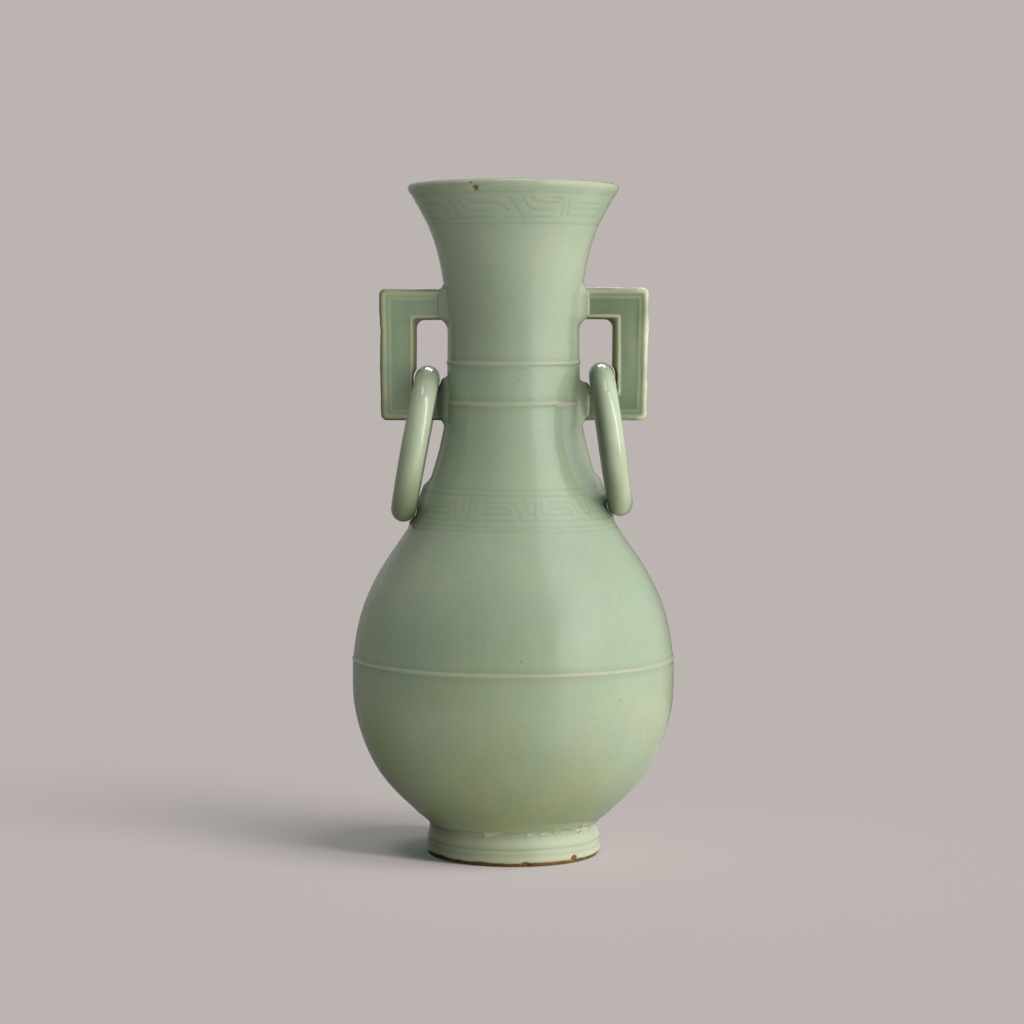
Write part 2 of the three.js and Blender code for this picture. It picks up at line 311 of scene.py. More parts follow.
def arc_lengths(z_low, z_high):
    z = np.linspace(z_low, z_high, 400)
    r, s = outline(z)
    length = np.concatenate([[0], np.cumsum(np.hypot(np.diff(z), np.diff(r)))])
    return lambda q: np.interp(q, z, length)


def incised(strokes, phi, z, z_low, z_high):
    """How deep each point of a band lies in its incised lines, 0 to 1. Strokes are (azimuth in degrees, height) lines."""
    up = arc_lengths(z_low, z_high)
    r, _ = outline(z)
    depth = np.zeros(phi.shape)
    across = np.degrees(phi)
    v = up(z)
    for points, width in strokes:
        points = np.array(points, float)
        lo, hi = points[:, 0].min() - 3, points[:, 0].max() + 3
        for turn in (-360, 0, 360):
            near = (across > lo + turn) & (across < hi + turn) & (np.abs(z - points[:, 1].mean()) < np.ptp(points[:, 1]) / 2 + 2.5)
            if not near.any():
                continue
            scale = np.radians(1.0) * r[near]
            px, py = (across[near] - turn) * scale, v[near]
            best = np.full(px.shape, 1e9)
            for a, b in zip(points, points[1:]):
                ax, ay, bx, by = a[0] * scale, up(a[1]), b[0] * scale, up(b[1])
                dx, dy = bx - ax, by - ay
                t = np.clip(((px - ax) * dx + (py - ay) * dy) / (dx * dx + dy * dy + 1e-12), 0, 1)
                best = np.minimum(best, np.hypot(px - ax - t * dx, py - ay - t * dy))
            depth[near] = np.maximum(depth[near], np.exp(-((best / width) ** 2)))
    return depth


def shoulder_strokes():
    l0, l1, l2, l3 = 138.6, 136.4, 134.2, 131.85
    rng = np.random.default_rng(31)
    strokes = []
    for i in range(9):
        start, wide = -27.6 + 40.0 * i, 40.0
        j = rng.normal(0, 0.12, 12)
        at = lambda u, z: (start + wide * u, z)
        strokes.append((round_corners([at(0.0, l0 + 0.7 + j[0]), at(0.005, l3 + j[1]), at(0.72, l3 + j[2])], 0.9), 0.46))
        hook = [at(0.115, l0 + 0.5 + j[3]), at(0.118, l2 + j[4]), at(0.62, l2 + j[5]), at(0.64, (l1 + l2) / 2), at(0.6, l1 + j[6]),
                at(0.245, l1 + j[7]), at(0.24, l0 + j[8]), at(0.69, l0 + j[9]), at(0.80, l3 + 0.2 + j[10])]
        strokes.append((round_corners(hook, 0.8), 0.46))
        strokes.append((round_corners([at(0.85, l0 + 0.5 + j[11]), at(0.905, l2), at(0.985, l2 - 0.1)], 0.7), 0.42))
        strokes.append((np.array([at(0.80, l3 + j[2]), at(1.0, l3 + j[1])]), 0.4))
    for z, width in ((143.25, 0.42), (141.0, 0.44), (129.6, 0.46), (127.9, 0.44)):
        strokes.append((np.array([(p, z + 0.12 * math.sin(math.radians(3 * p) + z)) for p in range(-40, 321, 4)]), width))
    return strokes


def trumpet_strokes():
    top, t0, t1, t2 = 252.8, 251.0, 248.3, 245.6
    rng = np.random.default_rng(32)
    strokes = []
    for i in range(9):
        s = -42.2 + 40.0 * i
        j = rng.normal(0, 0.1, 12)
        if s == 37.8:  # one unit is drawn square instead of slanting
            strokes += [(np.array([(42.0, 251.3), (62.0, 251.1)]), 0.44), (np.array([(39.0, 249.2), (64.5, 249.0)]), 0.44), (np.array([(36.7, 246.4), (66.0, 246.2)]), 0.46)]
            strokes.append((round_corners([(65.5, 252.6), (68.0, 249.0), (70.5, 246.8)], 0.9), 0.44))
            continue
        strokes.append((np.array([(s, top - 0.1 + j[0]), (s + 9.0, t2 - 1.2 + j[1])]), 0.46))
        strokes.append((round_corners([(s + 6.8, top + j[2]), (s + 12.2, t1 + 0.4 + j[3]), (s + 16.5, t1 + j[4]), (s + 27.8, t1 - 0.1 + j[5])], 0.9), 0.46))
        if s == -42.2 + 40.0:
            strokes.append((round_corners([(s + 11.8, top + 0.2), (s + 15.8, t0 + 0.2), (s + 30.0, t0 + 0.1)], 1.0), 0.48))
            strokes.append((round_corners([(21.7, 253.0), (30.2, 252.6), (31.2, 246.1)], 0.8), 0.48))
            strokes.append((np.array([(34.0, 252.3), (36.2, 246.3)]), 0.42))
        else:
            strokes.append((round_corners([(s + 12.4, top + 0.2), (s + 16.3, t0 + j[6]), (s + 31.0, t0 + j[7]), (s + 35.0, t0 - 1.2), (s + 39.0, t1 - 0.2 + j[8])], 1.0), 0.48))
        strokes.append((np.array([(s - 3.0, t2 + j[9]), (s + 29.0, t2 + 0.1 + j[10])]), 0.48))
    strokes.append((np.array([(p, 243.3 + 0.1 * math.sin(math.radians(4 * p))) for p in range(-44, 317, 4)]), 0.5))
    return strokes


# ------------------------------------------------------------------ materials
def srgb(r, g, b):
    return [((c / 255) / 12.92 if c <= 10.3 else ((c / 255 + 0.055) / 1.055) ** 2.4) for c in (r, g, b)] + [1.0]


class Nodes:
    """A short way to lay out a material's nodes."""

    def __init__(self, name):
        self.material = bpy.data.materials.new(name)
        self.material.use_nodes = True
        self.tree = self.material.node_tree
        self.shader = self.tree.nodes["Principled BSDF"]
        self.place = self.add("ShaderNodeTexCoord").outputs["Object"]

    def add(self, kind, **settings):
        node = self.tree.nodes.new(kind)
        for key, value in settings.items():
            setattr(node, key, value)
        return node

    def put(self, socket, value):
        if isinstance(value, bpy.types.NodeSocket):
            self.tree.links.new(value, socket)
        else:
            socket.default_value = value

    def attribute(self, name):
        return self.add("ShaderNodeAttribute", attribute_name=name).outputs["Fac"]

    def math(self, operation, a, b=None, c=None, clamp=False):
        node = self.add("ShaderNodeMath", operation=operation, use_clamp=clamp)
        for socket, value in zip(node.inputs, (a, b, c)):
            if value is not None:
                self.put(socket, value)
        return node.outputs[0]

    def span(self, value, a, b, to_a=0.0, to_b=1.0, soft=True):
        node = self.add("ShaderNodeMapRange", interpolation_type="SMOOTHSTEP" if soft else "LINEAR")
        self.put(node.inputs["Value"], value)
        for key, q in (("From Min", a), ("From Max", b), ("To Min", to_a), ("To Max", to_b)):
            node.inputs[key].default_value = q
        return node.outputs["Result"]

    def mix(self, factor, a, b, blend="MIX"):
        node = self.add("ShaderNodeMix", data_type="RGBA", blend_type=blend)
        self.put(node.inputs[0], factor)
        self.put(node.inputs[6], a)
        self.put(node.inputs[7], b)
        return node.outputs[2]

    def noise(self, scale, detail=2.0, stretch=None, rough=0.5):
        node = self.add("ShaderNodeTexNoise")
        node.inputs["Scale"].default_value = scale
        node.inputs["Detail"].default_value = detail
        node.inputs["Roughness"].default_value = rough
        source = self.place
        if stretch:
            bend = self.add("ShaderNodeMapping")
            self.put(bend.inputs["Vector"], source)
            bend.inputs["Scale"].default_value = stretch
            source = bend.outputs[0]
        self.put(node.inputs["Vector"], source)
        return node.outputs["Fac"]

    def height(self):
        split = self.add("ShaderNodeSeparateXYZ")
        self.put(split.inputs[0], self.place)
        return split.outputs["Z"]

    def ramp(self, factor, stops):
        node = self.add("ShaderNodeValToRGB")
        self.put(node.inputs[0], factor)
        band = node.color_ramp
        band.interpolation = "LINEAR"
        while len(band.elements) < len(stops):
            band.elements.new(0.5)
        for element, (position, colour) in zip(band.elements, stops):
            element.position = position
            element.color = colour
        return node.outputs["Color"]

    def spots(self, places, soft=0.55):
        """A mask of small round marks at places in millimetres: (x, y, z, radius)."""
        total = None
        for x, y, z, radius in places:
            far = self.add("ShaderNodeVectorMath", operation="DISTANCE")
            self.put(far.inputs[0], self.place)
            far.inputs[1].default_value = (x * 0.001, y * 0.001, z * 0.001)
            mark = self.span(far.outputs["Value"], radius * 0.001, radius * soft * 0.001)
            total = mark if total is None else self.math("MAXIMUM", total, mark)
        return total


# colours of the glaze from foot to lip, and where it runs thin, pools, or leaves the clay bare, and the near-black that
# painted shade is drawn towards
GLAZE_STOPS = [
    (0.077, (0.351, 0.393, 0.184, 1)),
    (0.115, (0.329, 0.375, 0.186, 1)),
    (0.173, (0.323, 0.374, 0.199, 1)),
    (0.231, (0.328, 0.391, 0.228, 1)),
    (0.285, (0.336, 0.403, 0.249, 1)),
    (0.331, (0.320, 0.386, 0.240, 1)),
    (0.385, (0.326, 0.399, 0.261, 1)),
    (0.462, (0.348, 0.420, 0.280, 1)),
    (0.531, (0.357, 0.428, 0.282, 1)),
    (0.638, (0.345, 0.425, 0.282, 1)),
    (0.712, (0.348, 0.420, 0.278, 1)),
    (0.788, (0.331, 0.400, 0.268, 1)),
    (0.831, (0.350, 0.418, 0.282, 1)),
    (0.877, (0.387, 0.456, 0.305, 1)),
    (0.923, (0.387, 0.451, 0.298, 1)),
]
POOL = (0.205, 0.290, 0.205, 1)
THIN = (0.480, 0.480, 0.310, 1)
CLAY = (0.300, 0.125, 0.016, 1)
CLAY_DARK = (0.075, 0.030, 0.006, 1)
PAINTED_SHADE_COLOUR = (0.019, 0.024, 0.010, 1)


def glaze(name, iron=(), stops=GLAZE_STOPS, pool=POOL, thin=THIN, gloss=0.14, cloudy=0.24, cloud_size=42, hues=False):
    n = Nodes(name)
    z = n.span(n.height(), 0.0, 0.26, soft=False)
    colour = n.ramp(z, stops)
    # clouds, runs down the wall and a fine grain in the depth of the glaze
    if hues:  # slow drifts to a warmer and a bluer green
        warm = n.noise(15, 2.0, stretch=(1.0, 1.0, 0.7))
        cool = n.noise(21, 2.0, stretch=(1.5, 1.5, 0.45))
        colour = n.mix(n.span(warm, 0.48, 0.74, 0.0, 0.24), colour, (0.412, 0.410, 0.243, 1))
        colour = n.mix(n.span(cool, 0.48, 0.72, 0.0, 0.15), colour, (0.280, 0.398, 0.310, 1))
    cloud = n.noise(cloud_size, 3.0)
    run = n.noise(30, 3.0, stretch=(4.0, 4.0, 0.8))
    grain = n.noise(900, 2.0)
    colour = n.mix(n.span(cloud, 0.36, 0.68, 0.0, cloudy), colour, (pool[0] * 1.25, pool[1] * 1.22, pool[2] * 1.32, 1))
    colour = n.mix(n.span(run, 0.45, 0.75, 0.0, 0.16), colour, thin)
    colour = n.mix(n.span(grain, 0.3, 0.7, 0.0, 0.10), colour, (pool[0] * 0.7, pool[1] * 0.7, pool[2] * 0.7, 1))
    # pinholes
    cells = n.add("ShaderNodeTexVoronoi", feature="F1")
    n.put(cells.inputs["Vector"], n.place)
    cells.inputs["Scale"].default_value = 210
    rare = n.add("ShaderNodeSeparateColor")
    n.put(rare.inputs[0], cells.outputs["Color"])
    pin = n.math("MULTIPLY", n.span(cells.outputs["Distance"], 0.10, 0.045), n.span(rare.outputs[0], 0.86, 0.90))
    colour = n.mix(n.math("MULTIPLY", pin, 0.25), colour, (0.09, 0.10, 0.055, 1))
    # where it gathers and where it runs thin
    colour = n.mix(n.math("MULTIPLY", n.attribute("pool"), 0.9, clamp=True), colour, pool)
    thinness = n.math("MULTIPLY", n.attribute("thin"), n.span(n.noise(260, 2.0), 0.25, 0.75, 0.78, 1.0), clamp=True)
    colour = n.mix(thinness, colour, thin)
    bare = n.attribute("bare")
    clay = n.mix(n.span(n.noise(420, 3.0), 0.25, 0.75, 0.12, 0.88), CLAY_DARK, CLAY)
    colour = n.mix(bare, colour, clay)
    # painted shade: where dark is set, the colour is drawn towards near black
    colour = n.mix(n.attribute("dark"), colour, PAINTED_SHADE_COLOUR)
    if iron:
        spot = n.spots(iron)
        colour = n.mix(n.math("MULTIPLY", spot, 0.6), colour, (0.055, 0.040, 0.018, 1))
    n.put(n.shader.inputs["Base Color"], colour)
    matt = n.span(n.noise(120, 2.0), 0.3, 0.7, gloss, gloss + 0.04)
    n.put(n.shader.inputs["Roughness"], n.math("ADD", matt, n.math("MULTIPLY", bare, 0.6), clamp=True))
    n.shader.inputs["IOR"].default_value = 1.5
    peel = n.add("ShaderNodeBump")
    peel.inputs["Strength"].default_value = 1.0
    peel.inputs["Distance"].default_value = 0.00003
    wave = n.math("ADD", n.noise(300, 2.0), n.math("MULTIPLY", n.math("MULTIPLY", bare, n.noise(2600, 2.0)), 6.0))
    n.put(peel.inputs["Height"], wave)
    n.put(n.shader.inputs["Normal"], peel.outputs[0])
    return n.material


def on_body(phi_deg, z, radius):
    r, _ = body(min(z, 255.0))
    p = math.radians(phi_deg)
    return (r * math.sin(p), -r * math.cos(p), z, radius)


BODY_IRON = [
    on_body(-29.6, 211.9, 0.34), on_body(44.5, 199.9, 0.32), on_body(4.9, 184.3, 0.3),
    on_body(-18.5, 109.4, 0.4), on_body(2.6, 81.8, 0.38), on_body(40.0, 65.7, 0.38), on_body(-19.8, 24.0, 0.36),
    on_body(112, 150, 0.35), on_body(161, 96, 0.4), on_body(214, 188, 0.32), on_body(251, 58, 0.4), on_body(300, 226, 0.34),
]
LIP_IRON = [(-15.8, -37.4, 258.4, 0.42), (28.0, -29.3, 258.2, 0.3), (26.6, -30.6, 258.9, 0.28), (28.9, -27.6, 259.7, 0.5), (12.0, 37.8, 258.0, 0.4)]

body_glaze = glaze("celadon_glaze_body", iron=BODY_IRON, hues=True)
neck_glaze = glaze("celadon_glaze_neck", iron=BODY_IRON[:3] + BODY_IRON[9:10] + BODY_IRON[11:] + LIP_IRON, hues=True)
rib_glaze = glaze("celadon_glaze_rib", thin=(0.500, 0.460, 0.290, 1), hues=True)
foot_glaze = glaze(
    "celadon_glaze_foot",
    stops=[(0.0, (0.450, 0.475, 0.265, 1)), (0.05, (0.435, 0.475, 0.280, 1))],
    pool=(0.270, 0.345, 0.240, 1), thin=(0.560, 0.580, 0.410, 1), gloss=0.16, cloudy=0.22,
)
left_handle_glaze = glaze(
    "celadon_glaze_left_handle",
    stops=[(0.64, (0.290, 0.365, 0.205, 1)), (0.72, (0.330, 0.415, 0.250, 1)), (0.84, (0.335, 0.415, 0.248, 1))],
    pool=(0.205, 0.290, 0.180, 1), thin=(0.570, 0.530, 0.295, 1), gloss=0.11, cloudy=0.75, cloud_size=95,
)
# the right-hand handle's glaze is a darker copy of the left's, as painted shade on its field, and its paler thin colour
# carries its painted highlight
right_handle_glaze = glaze(
    "celadon_glaze_right_handle",
    stops=[(0.64, (0.200, 0.260, 0.150, 1)), (0.72, (0.215, 0.280, 0.170, 1)), (0.84, (0.225, 0.290, 0.175, 1))],
    pool=(0.140, 0.195, 0.098, 1), thin=(0.640, 0.605, 0.415, 1), gloss=0.11, cloudy=0.75, cloud_size=95,
)
ring_glaze = glaze(
    "celadon_glaze_ring",
    iron=[(36.9, -24.2, 168.9, 0.3), (37.9, -24.6, 166.0, 0.35), (38.4, -24.0, 171.5, 0.25), (-37.0, 24.0, 163.0, 0.35)],
    stops=[(0.50, (0.340, 0.390, 0.200, 1)), (0.555, (0.400, 0.460, 0.280, 1)), (0.63, (0.460, 0.535, 0.365, 1)), (0.73, (0.470, 0.555, 0.385, 1))],
    pool=(0.270, 0.330, 0.190, 1), thin=(0.540, 0.570, 0.430, 1), gloss=0.07,
)


# ------------------------------------------------------------------ foot
def blob(phi, z, phi_deg, z_mid, half_deg, half_z, rough=0.25):
    """A ragged patch, 1 inside and 0 outside."""
    across = (np.degrees(phi) - phi_deg + 180) % 360 - 180
    d = np.hypot(across / half_deg, (z - z_mid) / half_z)
    return smooth(1.15, 0.8, d + rough * glaze_run(phi * 1.0, z * 2.2))


def grit(phi, z):
    """Drips and the gritty patch where the body's glaze reached the foot."""
    drips = np.zeros(np.broadcast(phi, z).shape)
    for deg, half, tip in ((-14.4, 6.2, 10.9), (13.6, 5.6, 11.2), (22.0, 4.4, 11.6), (31.0, 3.6, 11.9)):
        off = np.abs((np.degrees(phi) - deg + 180) % 360 - 180 + 2.2 * (13.0 - z) + 1.2 * edge_run(phi, z * 1.5))
        wide = half * np.clip((z - tip) / (13.1 - tip), 1e-3, 1) ** 0.8
        drips = np.maximum(drips, smooth(1.2, 0.7, off / wide) * smooth(13.6, 13.0, z) * (z > tip))
    ragged = smooth(0.0, 0.45, glaze_run(phi * 1.0 + 0.7, z * 1.6) + 0.35 * edge_run(phi, z)) * bell(z, 13.1 + 0.35 * edge_run(phi, 3.0), 0.85)
    across = (np.degrees(phi) + 180) % 360 - 180
    drips = np.maximum(drips, ragged * np.maximum(smooth(12, 22, across) * smooth(72, 62, across), 0.55 * smooth(150, 165, np.abs(across))))
    patch = blob(phi, z, 56.0, 13.6, 11.0, 2.6, 0.35)
    back = np.maximum(blob(phi, z, 148.0, 12.4, 6.0, 1.2), blob(phi, z, 252.0, 12.7, 8.0, 1.3))
    return np.maximum(np.maximum(drips, patch), back), patch


def chips(phi, z):
    """Two nicks in the rim of the foot, and small ones around the back."""
    out = np.zeros(np.broadcast(phi, z).shape)
    for deg, zm, hd, hz, deep in ((7.5, 0.75, 3.1, 1.35, 1.0), (43.2, 1.9, 2.5, 1.25, 0.8), (128.0, 0.7, 3.0, 1.1, 0.8), (229.0, 0.6, 2.4, 1.0, 0.8), (317.0, 0.5, 2.0, 0.8, 0.6)):
        out = np.maximum(out, deep * blob(phi, z, deg, zm, hd, hz, 0.18))
    return out


def foot_rows():
    rows = [plain(0.0, r, 900, bare=1.0) for r in (28.25, 29.3, 30.6, 31.8, 32.5)]
    n, p = 900, azimuths(900)
    turn = (np.degrees(p) + 180) % 360 - 180
    # outer wall, from the edge of the bare rim to the waist
    edge = [(0.12, 32.95), (0.34, 33.2), (0.62, 33.42)]
    heights = list(np.arange(0.9, 12.6, 0.235)) + [12.6]
    for z, r in edge + [(z, float(foot_line(z)[0])) for z in heights]:
        slope = float(foot_line(max(z, 0.9))[1])
        k = math.hypot(1, slope)
        d = 0.04 * unround(p, z)
        d = d - 0.26 * bell(z, 6.55, 0.42) - 0.13 * bell(z, 4.35, 0.75) + 0.06 * bell(z, 5.4, 0.4) - 0.10 * bell(z, 11.4, 0.8)
        glazed = smooth(1.35, 1.75, z + 0.16 * edge_run(p, z * 0.2) + 0.05 * glaze_run(p, z) - 0.55 * bell(turn, -62.0, 26.0))
        d = d + 0.11 * glazed - 0.10
        nick = chips(p, np.full(n, z))
        d = d - 0.75 * nick
        ran, patch = grit(p, np.full(n, z))
        d = d + 0.22 * ran * smooth(9.5, 11.5, z)
        row = dict(n=n, z=z - slope / k * d * 0.2, r=r + d)
        run = 0.5 + 0.5 * glaze_run(p, z * 0.15)
        # the darker band high on the foot, under the body's overhang, is painted shade with glaze gathered in the
        # corner; the two lower lines are glaze in the grooves
        row["pool"] = np.clip(0.8 * bell(z, 6.55, 0.42) + 0.4 * bell(z, 4.35, 0.7) + (0.5 + 0.35 * run) * bell(z, 11.8, 1.6) * (1 - ran), 0, 1)
        row["thin"] = np.clip(0.10 + 0.32 * bell(z, 8.7, 1.5) + 0.3 * bell(z, 2.6, 1.0) + 0.15 * bell(z, 5.4, 0.6) - 0.2 * bell(z, 11.8, 1.3) + 0.6 * ran, 0, 1)
        row["bare"] = np.clip(np.maximum((1 - glazed), smooth(0.2, 0.6, nick)) + 0.7 * patch * smooth(0.35, 0.75, glaze_run(p * 1.0 + 1.3, z * 3.0)), 0, 1)
        # painted shade: the bare rim darker towards the front-left, where the foot stands in its own shadow
        row["dark"] = np.clip((1 - glazed) * (0.12 + 0.62 * bell(turn, -55.0, 42.0)) * (1 - nick), 0, 1)
        rows.append(row)
    # ledge, hollow underside
    rows += [plain(12.6, r, 300) for r in (31.5, 28.0, 24.0, 21.0)]
    rows += [plain(z, r, 300, thin=0.25) for z, r in ((11.5, 21.0), (9.9, 21.05), (9.35, 21.3), (9.0, 22.0), (8.6, 23.0), (7.9, 24.6), (6.9, 26.0), (5.8, 26.65), (4.4, 26.95), (2.6, 27.25))]
    rows += [plain(1.2, 27.45, 300, bare=0.7), plain(0.45, 27.65, 300, bare=1.0), plain(0.12, 27.95, 300, bare=1.0)]
    return rows


make("foot_ring_glazed", *turned(foot_rows()), "vase", ["foot_ring"], "celadon_pale", foot_glaze)


def base_rows():
    rows = [plain(12.65, 0.0, 1)]
    rows += [plain(12.65, r, 180, thin=0.2) for r in (7, 14, 21, 27.2)]
    rows += [plain(z, r, 180) for z, r in ((12.8, 27.65), (13.2, 27.75), (15.7, 27.75), (16.4, 27.55), (16.85, 27.1), (16.99, 26.5))]
    for i, r in enumerate((25.4, 23.8, 22, 20, 18, 16, 14, 12, 10, 8, 6, 4, 2)):
        rows.append(plain(16.2 + 0.75 * smooth(4, 26, r) + 0.035 * math.cos(r * 1.9), r, 180, pool=float(0.6 * bell(r, 26, 3))))
    rows.append(plain(16.2, 0.0, 1, pool=0.2))
    return rows


base = base_rows()
make("base_disc_glazed", *turned(base, closed=False), "vase", ["base_disc"], "celadon_body", body_glaze)


# ------------------------------------------------------------------ thrown sections
def skin(z, n, cut=None, **values):
    """One circle of the vase's outer skin at height z, cut by what cut(phi, z) gives: depth inwards and attributes."""
    r, slope = body(z)
    k = math.hypot(1, slope)
    p = azimuths(n)
    d = skin_error(p, z)
    row = dict(n=n, **values)
    if cut:
        depth, more = cut(p, np.full(n, float(z)))
        d = d - depth
        row.update(more)
    row["z"], row["r"] = z - slope / k * d - MOUTH_DIP * smooth(244, 257, z) * np.sin(p) ** 2, r + d / k
    return row


def inner(z, n=180, **values):
    r, slope = body(z)
    return plain(z, r - WALL * math.hypot(1, slope), n, **values)


def lower_cut(p, z):
    ran, patch = grit(p, z)
    rim = bell(z, 14.3 + 0.35 * edge_run(p, 0), 0.7)
    depth = -0.06 * rim - 0.14 * ran * smooth(18, 15, z) + 0.04 * smooth(13.9, 12.7, z)
    pool = np.clip(0.25 * smooth(13.6, 12.8, z) * (1 - ran) + 0.12 * smooth(19, 14, z), 0, 1)
    thin = np.clip(0.75 * ran * smooth(17, 14.6, z) + 0.14 * rim, 0, 1)
    bare = np.clip(0.75 * patch * smooth(0.3, 0.8, glaze_run(p + 1.3, z * 3.0)), 0, 1)
    # the glaze thickens against the rib
    pool = np.clip(pool + 0.3 * smooth(72.5, 74.9, z), 0, 1)
    return depth, dict(pool=pool, thin=thin, bare=bare)


def lower_rows():
    rows = [plain(12.65, 28.05, 300), plain(12.65, 31.5, 300)]
    rows += [skin(z, 900, lower_cut) for z in np.arange(12.65, 17.9, 0.21)]
    rows += [skin(z, 300, lower_cut) for z in list(np.arange(18.3, 30, 0.9)) + list(np.arange(30.8, 72.4, 1.3)) + [72.9, 73.4, 73.9, 74.4, 74.88]]
    seat = body(74.9)[0] - 0.9
    rows += [plain(74.9, seat, 300), plain(76.375, seat, 300), plain(76.375, body(76.4)[0] - WALL + 0.3, 300)]
    rows += [inner(z, 300) for z in (76.0, 72, 67, 62, 57, 52, 47, 43, 39, 35.5, 32, 29, 26.5, 24, 22, 20.4, 19.4)]
    rows += [plain(18.4, 29.0, 300, pool=0.3), plain(17.6, 28.1, 300, pool=0.4), plain(15.0, 28.05, 300)]
    return rows


make("lower_body_glazed", *turned(lower_rows()), "vase", ["lower_body"], "celadon_body", body_glaze)

shoulder = shoulder_strokes()


def ring_seat(side, radius, x, z, lean, cord):
    """The thick of glaze on the shoulder that a ring leans on: its height by level, kept clear of the ring."""
    c, s = math.cos(math.radians(lean)), math.sin(math.radians(lean))
    low = np.array([x + 2 * radius * s, z - 2 * radius * c])
    up = np.array([-s, c])
    levels, acrosses, d = np.linspace(124, 150, 105), np.linspace(0, 8, 17), np.linspace(0, 2.0, 81)

    def room(far, gap):
        free = far > cord + gap
        return 0.0 if not free[0] else d[np.argmin(free) - 1] if not free.all() else d[-1]

    table = np.zeros((len(levels), len(acrosses)))
    for i, level in enumerate(levels):
        r, slope = body(level)
        k = math.hypot(1, slope)
        out, rise = r + d / k, level - slope / k * d
        rel = np.stack([out, rise], 1) - low
        seen = room(np.where(rel @ up < 0, np.hypot(rel[:, 0], rel[:, 1]), np.abs(rel[:, 0] * up[1] - rel[:, 1] * up[0])), 0.12)
        for j, across in enumerate(acrosses):
            rel = np.stack([out * math.cos(across / r), rise], 1) - low
            round_ring = np.hypot(rel @ up - radius, out * math.sin(across / r)) - radius
            table[i, j] = min(room(np.hypot(round_ring, rel[:, 0] * up[1] - rel[:, 1] * up[0]), 0.12 + 0.02 * across), seen + 0.35)
    bottom = low[1]
    table = np.minimum(table, 1.7) * (smooth(bottom + 12.5, bottom + 8.0, levels) * smooth(bottom - 7.0, bottom - 4.0, levels))[:, None]

    def height(level, across):
        return np.interp(across, acrosses, [np.interp(level, levels, column) for column in table.T])

    return side, bottom, height


SEATS = [ring_seat(**LEFT_RING), ring_seat(**RIGHT_RING)]


def seats(p, z):
    mound, painted_shade = np.zeros(p.shape), np.zeros(p.shape)
    if not 124 < z < 150:
        return mound, painted_shade
    r, _ = body(z)
    for side, bottom, height in SEATS:
        across = np.abs((p - side * np.pi / 2 + np.pi) % (2 * np.pi) - np.pi) * r
        mound = np.maximum(mound, height(z, across) * np.exp(-((across / 4.8) ** 4)))
        # painted shade where each ring leans on the shoulder: a darker core round the ring's lowest point, and a
        # broader soft darkening
        painted_shade = np.maximum(painted_shade, 0.50 * np.exp(-((across / 6.5) ** 2)) * smooth(bottom - 6.5, bottom - 1.5, z) * smooth(bottom + 13.5, bottom + 5.0, z))
        painted_shade = np.maximum(painted_shade, 0.45 * np.exp(-((across / 10.0) ** 2)) * bell(z, bottom + 1.5, 5.5))
    return mound, painted_shade


def upper_cut(p, z):
    depth = np.zeros(p.shape)
    zz = float(z[0])
    if 126.0 < zz < 145.2:
        depth = incised(shoulder, p, z, 124.0, 147.0)
    near_rib = smooth(79.9, 77.9, z) + smooth(172.2, 173.9, z)
    # the mound is raised glaze; the darkening that comes with it is painted shade
    mound, painted_shade = seats(p, zz)
    return 0.055 * depth - mound, dict(pool=np.clip(0.32 * depth + 0.3 * near_rib, 0, 1), dark=painted_shade)


def upper_rows():
    seat = body(74.9)[0] - 0.9
    rows = [inner(76.425, 300), plain(76.425, seat, 300), plain(77.9, seat, 300)]
    rows += [skin(z, 300, upper_cut) for z in [77.92, 78.4, 78.9, 79.5] + list(np.arange(80.4, 126.2, 1.3))]
    rows += [skin(z, 900, upper_cut) for z in np.arange(126.5, 144.9, 0.27)]
    rows += [skin(z, 300, upper_cut) for z in list(np.arange(145.2, 172.0, 1.4)) + [172.5, 173.0, 173.5, 173.88]]
    seat = body(176.9)[0] - 0.9
    rows += [plain(173.9, seat, 300), plain(175.375, seat, 300), inner(175.375, 300)]
    rows += [inner(z, 300) for z in (172, 168, 164, 160, 156, 152, 148, 144, 140, 136, 132, 128.5, 125, 121.5, 118, 114, 110, 106, 102, 97, 92, 87, 82, 78)]
    return rows


make("upper_body_glazed", *turned(upper_rows()), "vase", ["upper_body"], "celadon_body", body_glaze)


def collar_cut(p, z):
    return np.zeros(p.shape), dict(pool=np.clip(0.34 * (smooth(178.9, 176.9, z) + smooth(187.6, 189.4, z)), 0, 1))


def collar_rows():
    low, high = body(176.9)[0] - 0.9, body(192.2)[0] - 0.9
    rows = [inner(175.425, 300), plain(175.425, low, 300), plain(176.9, low, 300)]
    rows += [skin(z, 300, collar_cut) for z in [176.92, 177.3, 177.8, 178.4] + list(np.arange(179.2, 187.4, 1.0)) + [187.9, 188.5, 189.0, 189.38]]
    rows += [plain(189.4, high, 300), plain(190.775, high, 300), inner(190.775, 300)]
    rows += [inner(z, 300) for z in (188, 185, 182, 179)]
    return rows


make("neck_collar_glazed", *turned(collar_rows()), "vase", ["neck_collar"], "celadon_body", neck_glaze)

fret = trumpet_strokes()


def trumpet_cut(p, z):
    depth = np.zeros(p.shape)
    zz = float(z[0])
    if 241.8 < zz:
        depth = incised(fret, p, z, 240.0, 255.0)
    near_rib = smooth(194.2, 192.2, z)
    # darker just under the lip: painted shade where the surface turns downward, with glaze gathered in the crease
    under_lip = smooth(254.1, 255.0, z)
    return 0.055 * depth, dict(pool=np.clip(0.38 * depth + 0.3 * near_rib + 0.3 * under_lip, 0, 1))


